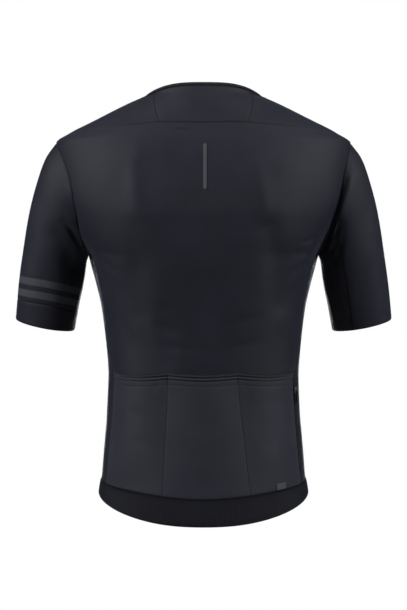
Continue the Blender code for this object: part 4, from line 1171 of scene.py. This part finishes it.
half = math.degrees(TAB_WIDTH / 2 / TAB_REACH)
directions = TAB_DIRECTION + np.linspace(-half, half, 13)
height = hem_top(directions) + TAB_HEIGHT * np.linspace(0.06, 1.0, 9)[:, None]
points, normals = body_grid(pairs(directions, height))
u = (directions - DIVIDERS_AT_HEM[1]) / (BACK_SEAM_AT_HEM - DIVIDERS_AT_HEM[1])
v = (height - hem_top(directions)) / (POCKET_MOUTH - hem_top(directions))
fullness = np.sin(math.pi * u) ** 0.8 * np.sin(math.pi / 2 * v) ** 0.8
lift = SEAM_GAP + POCKET_WALL + POCKET_DEPTH * fullness + TRIM_GAP
sewn("hem_tab", points + normals * lift[..., None], normals, grey_film, "reflective_film", "hem_tab_film",
     wall=TRIM_WALL, proud=TRIM_WALL, seam_dip=0.15)


# ------------------------------ stitching
# Every seam is held flat by one or two rows of polyester thread. The mouths of the pockets, the cuff and
# the hem have two rows, and short dense bars lock the ends of each mouth.

STITCH_PITCH, STITCH_LENGTH, STITCH_WIDTH = 2.6, 1.9, 0.55

# Spun polyester thread, black: a little shinier than the knit it lies on.
thread = smooth_finish("black_polyester_thread", "#0d0e12", roughness=0.6, grain=0.6667)
stitch_tree = row_tree("stitches", ("GeometryNodeMeshIcoSphere", 0.5),
                       (STITCH_LENGTH, STITCH_WIDTH, STITCH_WIDTH * 0.7))


def seam_line(name, edge, inset, start, stop):
    """A line on a sewn piece's outer face, an inset (mm) in from an edge, between two shares of its length."""
    outer, normals = SURFACES[name]
    if edge in ("left", "right"):
        outer, normals = outer.swapaxes(0, 1), normals.swapaxes(0, 1)
    if edge in ("top", "right"):
        outer, normals = outer[::-1], normals[::-1]
    depth = run_lengths(outer, 0)
    line, out = [], []
    last = outer.shape[1] - 1
    for column in range(round(start * last), round(stop * last) + 1):
        at = np.interp(inset, depth[:, column], np.arange(len(outer)))
        low = min(int(at), len(outer) - 2)
        share = at - low
        line.append(outer[low, column] * (1 - share) + outer[low + 1, column] * share)
        out.append(unit(normals[low, column] * (1 - share) + normals[low + 1, column] * share))
    return np.array(line), np.array(out)


def lines(names, edges, insets, start=0.0, stop=1.0):
    """One line for each piece, edge and inset."""
    return [seam_line(name, edge, inset, start, stop) for name in names for edge in edges for inset in insets]


def sew(name, *runs, pitch=STITCH_PITCH, turn=0.0):
    """Rows of stitches along runs of lines, as one piece."""
    set_along(name, sum(runs, []), stitch_tree, "body_cloth", Pitch=pitch * MM, Turn=turn, Unevenness=0.05,
              Seed=11, Material=thread)


BOTH = ("left", "right")
FRONTS, SIDES, SLEEVES = ([f"{part}_{side}" for side in BOTH] for part in ("front", "side", "sleeve"))
# Shares of the back panel's side edge, and of the front's, from the hem
MOUTH_SHARE, ARMPIT_SHARE, FRONT_ARMPIT_SHARE, BAR_SHARE = 0.225, 0.44, 0.5, 0.93

sew("stitching_yoke_and_armholes",
    lines(["back_panel"], ["top"], (2.0, 5.2)), lines(["back_panel"], BOTH, [2.2], ARMPIT_SHARE),
    lines(FRONTS, ["right"], [2.2], FRONT_ARMPIT_SHARE), lines(["neck_panel"], BOTH, [2.0]))
sew("stitching_neck", lines(["neck_binding"], ["bottom"], [1.4]))
sew("stitching_sides", lines(["back_panel"], BOTH, [2.0], MOUTH_SHARE, ARMPIT_SHARE), lines(SIDES, BOTH, [2.0]))
sew("stitching_sleeves",
    lines(SLEEVES, BOTH, [2.0]), lines(["cuff_left"], ["bottom"], (1.6, 4.6)),
    lines(["cuff_left", "sleeve_right", "underarm_right"], ["top"], [6.5]))
sew("stitching_pockets", lines(POCKETS, ["top"], MOUTH_STITCHES), lines(POCKETS, BOTH, [1.8]))
sew("stitching_pocket_bars", lines(POCKETS, BOTH, [2.4], BAR_SHARE), pitch=0.7, turn=math.pi / 2)
sew("stitching_hem",
    lines(["back_panel"], ["bottom"], [2.0]), lines(POCKETS + FRONTS + SIDES, ["bottom"], (1.8, 4.4)))
sew("stitching_zips", lines(FRONTS, ["left"], [2.4]), lines(["side_zip_tape"], BOTH, [0.7]), pitch=2.2)


# ------------------------------ room and light
# A pale floor far below, a white room and five softboxes: two high at the sides of the back, a weak one
# above, and two weak ones in front. The floor and the room look white, but throw little light.

FLOOR_HEIGHT, FLOOR_RADIUS, FLOOR_SIDES = -1.46, 3.6, 96
FLOOR_GLOW, ROOM_LIGHT = 0.82, 0.04

turns = np.arange(FLOOR_SIDES) * 2 * math.pi / FLOOR_SIDES
rim = [(FLOOR_RADIUS * math.cos(turn), FLOOR_RADIUS * math.sin(turn), FLOOR_HEIGHT) for turn in turns]
floor_mesh = bpy.data.meshes.new("floor")
floor_mesh.from_pydata(rim, [], [range(FLOOR_SIDES)])
# Matt emulsion paint on a smooth floor, nearly white. It glows to the camera alone, and lights nothing.
paint, tree, shader = new_material("pale_floor_paint")
glow = node(tree, "ShaderNodeMapRange", Value=node(tree, "ShaderNodeLightPath"), i3=0.0, i4=FLOOR_GLOW)
node(tree, shader, Base_Color=linear("#f2f2f2"), Roughness=0.9, Emission_Color=linear("#f2f2f2"),
     Emission_Strength=glow)
floor_mesh.materials.append(paint)
placed("floor", floor_mesh)

world = bpy.data.worlds.new("white room")
world.use_nodes = True
tree = world.node_tree
strength = node(tree, "ShaderNodeMapRange", Value=node(tree, "ShaderNodeLightPath"), i3=ROOM_LIGHT, i4=1.0)
node(tree, tree.nodes["Background"], Color=(1.0, 1.0, 1.0, 1.0), Strength=strength)
bpy.context.scene.world = world

# name, place, size across and up, power, all aimed at the chest
LAMPS = (
    ("left softbox", (-2.4, -1.2, 1.45), (0.6, 1.6), 20.5),
    ("right softbox", (2.4, -1.2, 1.45), (0.6, 1.6), 18.5),
    ("overhead softbox", (0.0, -1.3, 2.9), (1.6, 0.8), 1.0),
    ("front left softbox", (-0.7, 3.1, -0.35), (0.8, 0.8), 4.5),
    ("front right softbox", (0.7, 3.1, -0.35), (0.8, 0.8), 4.0),
)
LAMP_SPREAD, CHEST = 70, (0.0, 0.0, -0.3)
for name, place, (wide, tall), power in LAMPS:
    lamp = bpy.data.lights.new(name, "AREA")
    lamp.shape, lamp.size, lamp.size_y, lamp.energy = "RECTANGLE", wide, tall, power
    lamp.spread = math.radians(LAMP_SPREAD)
    made = placed(name, lamp)
    made.location = place
    made.rotation_euler = (Vector(CHEST) - Vector(place)).to_track_quat("-Z", "Y").to_euler()

bpy.context.scene.view_settings.view_transform = "Standard"
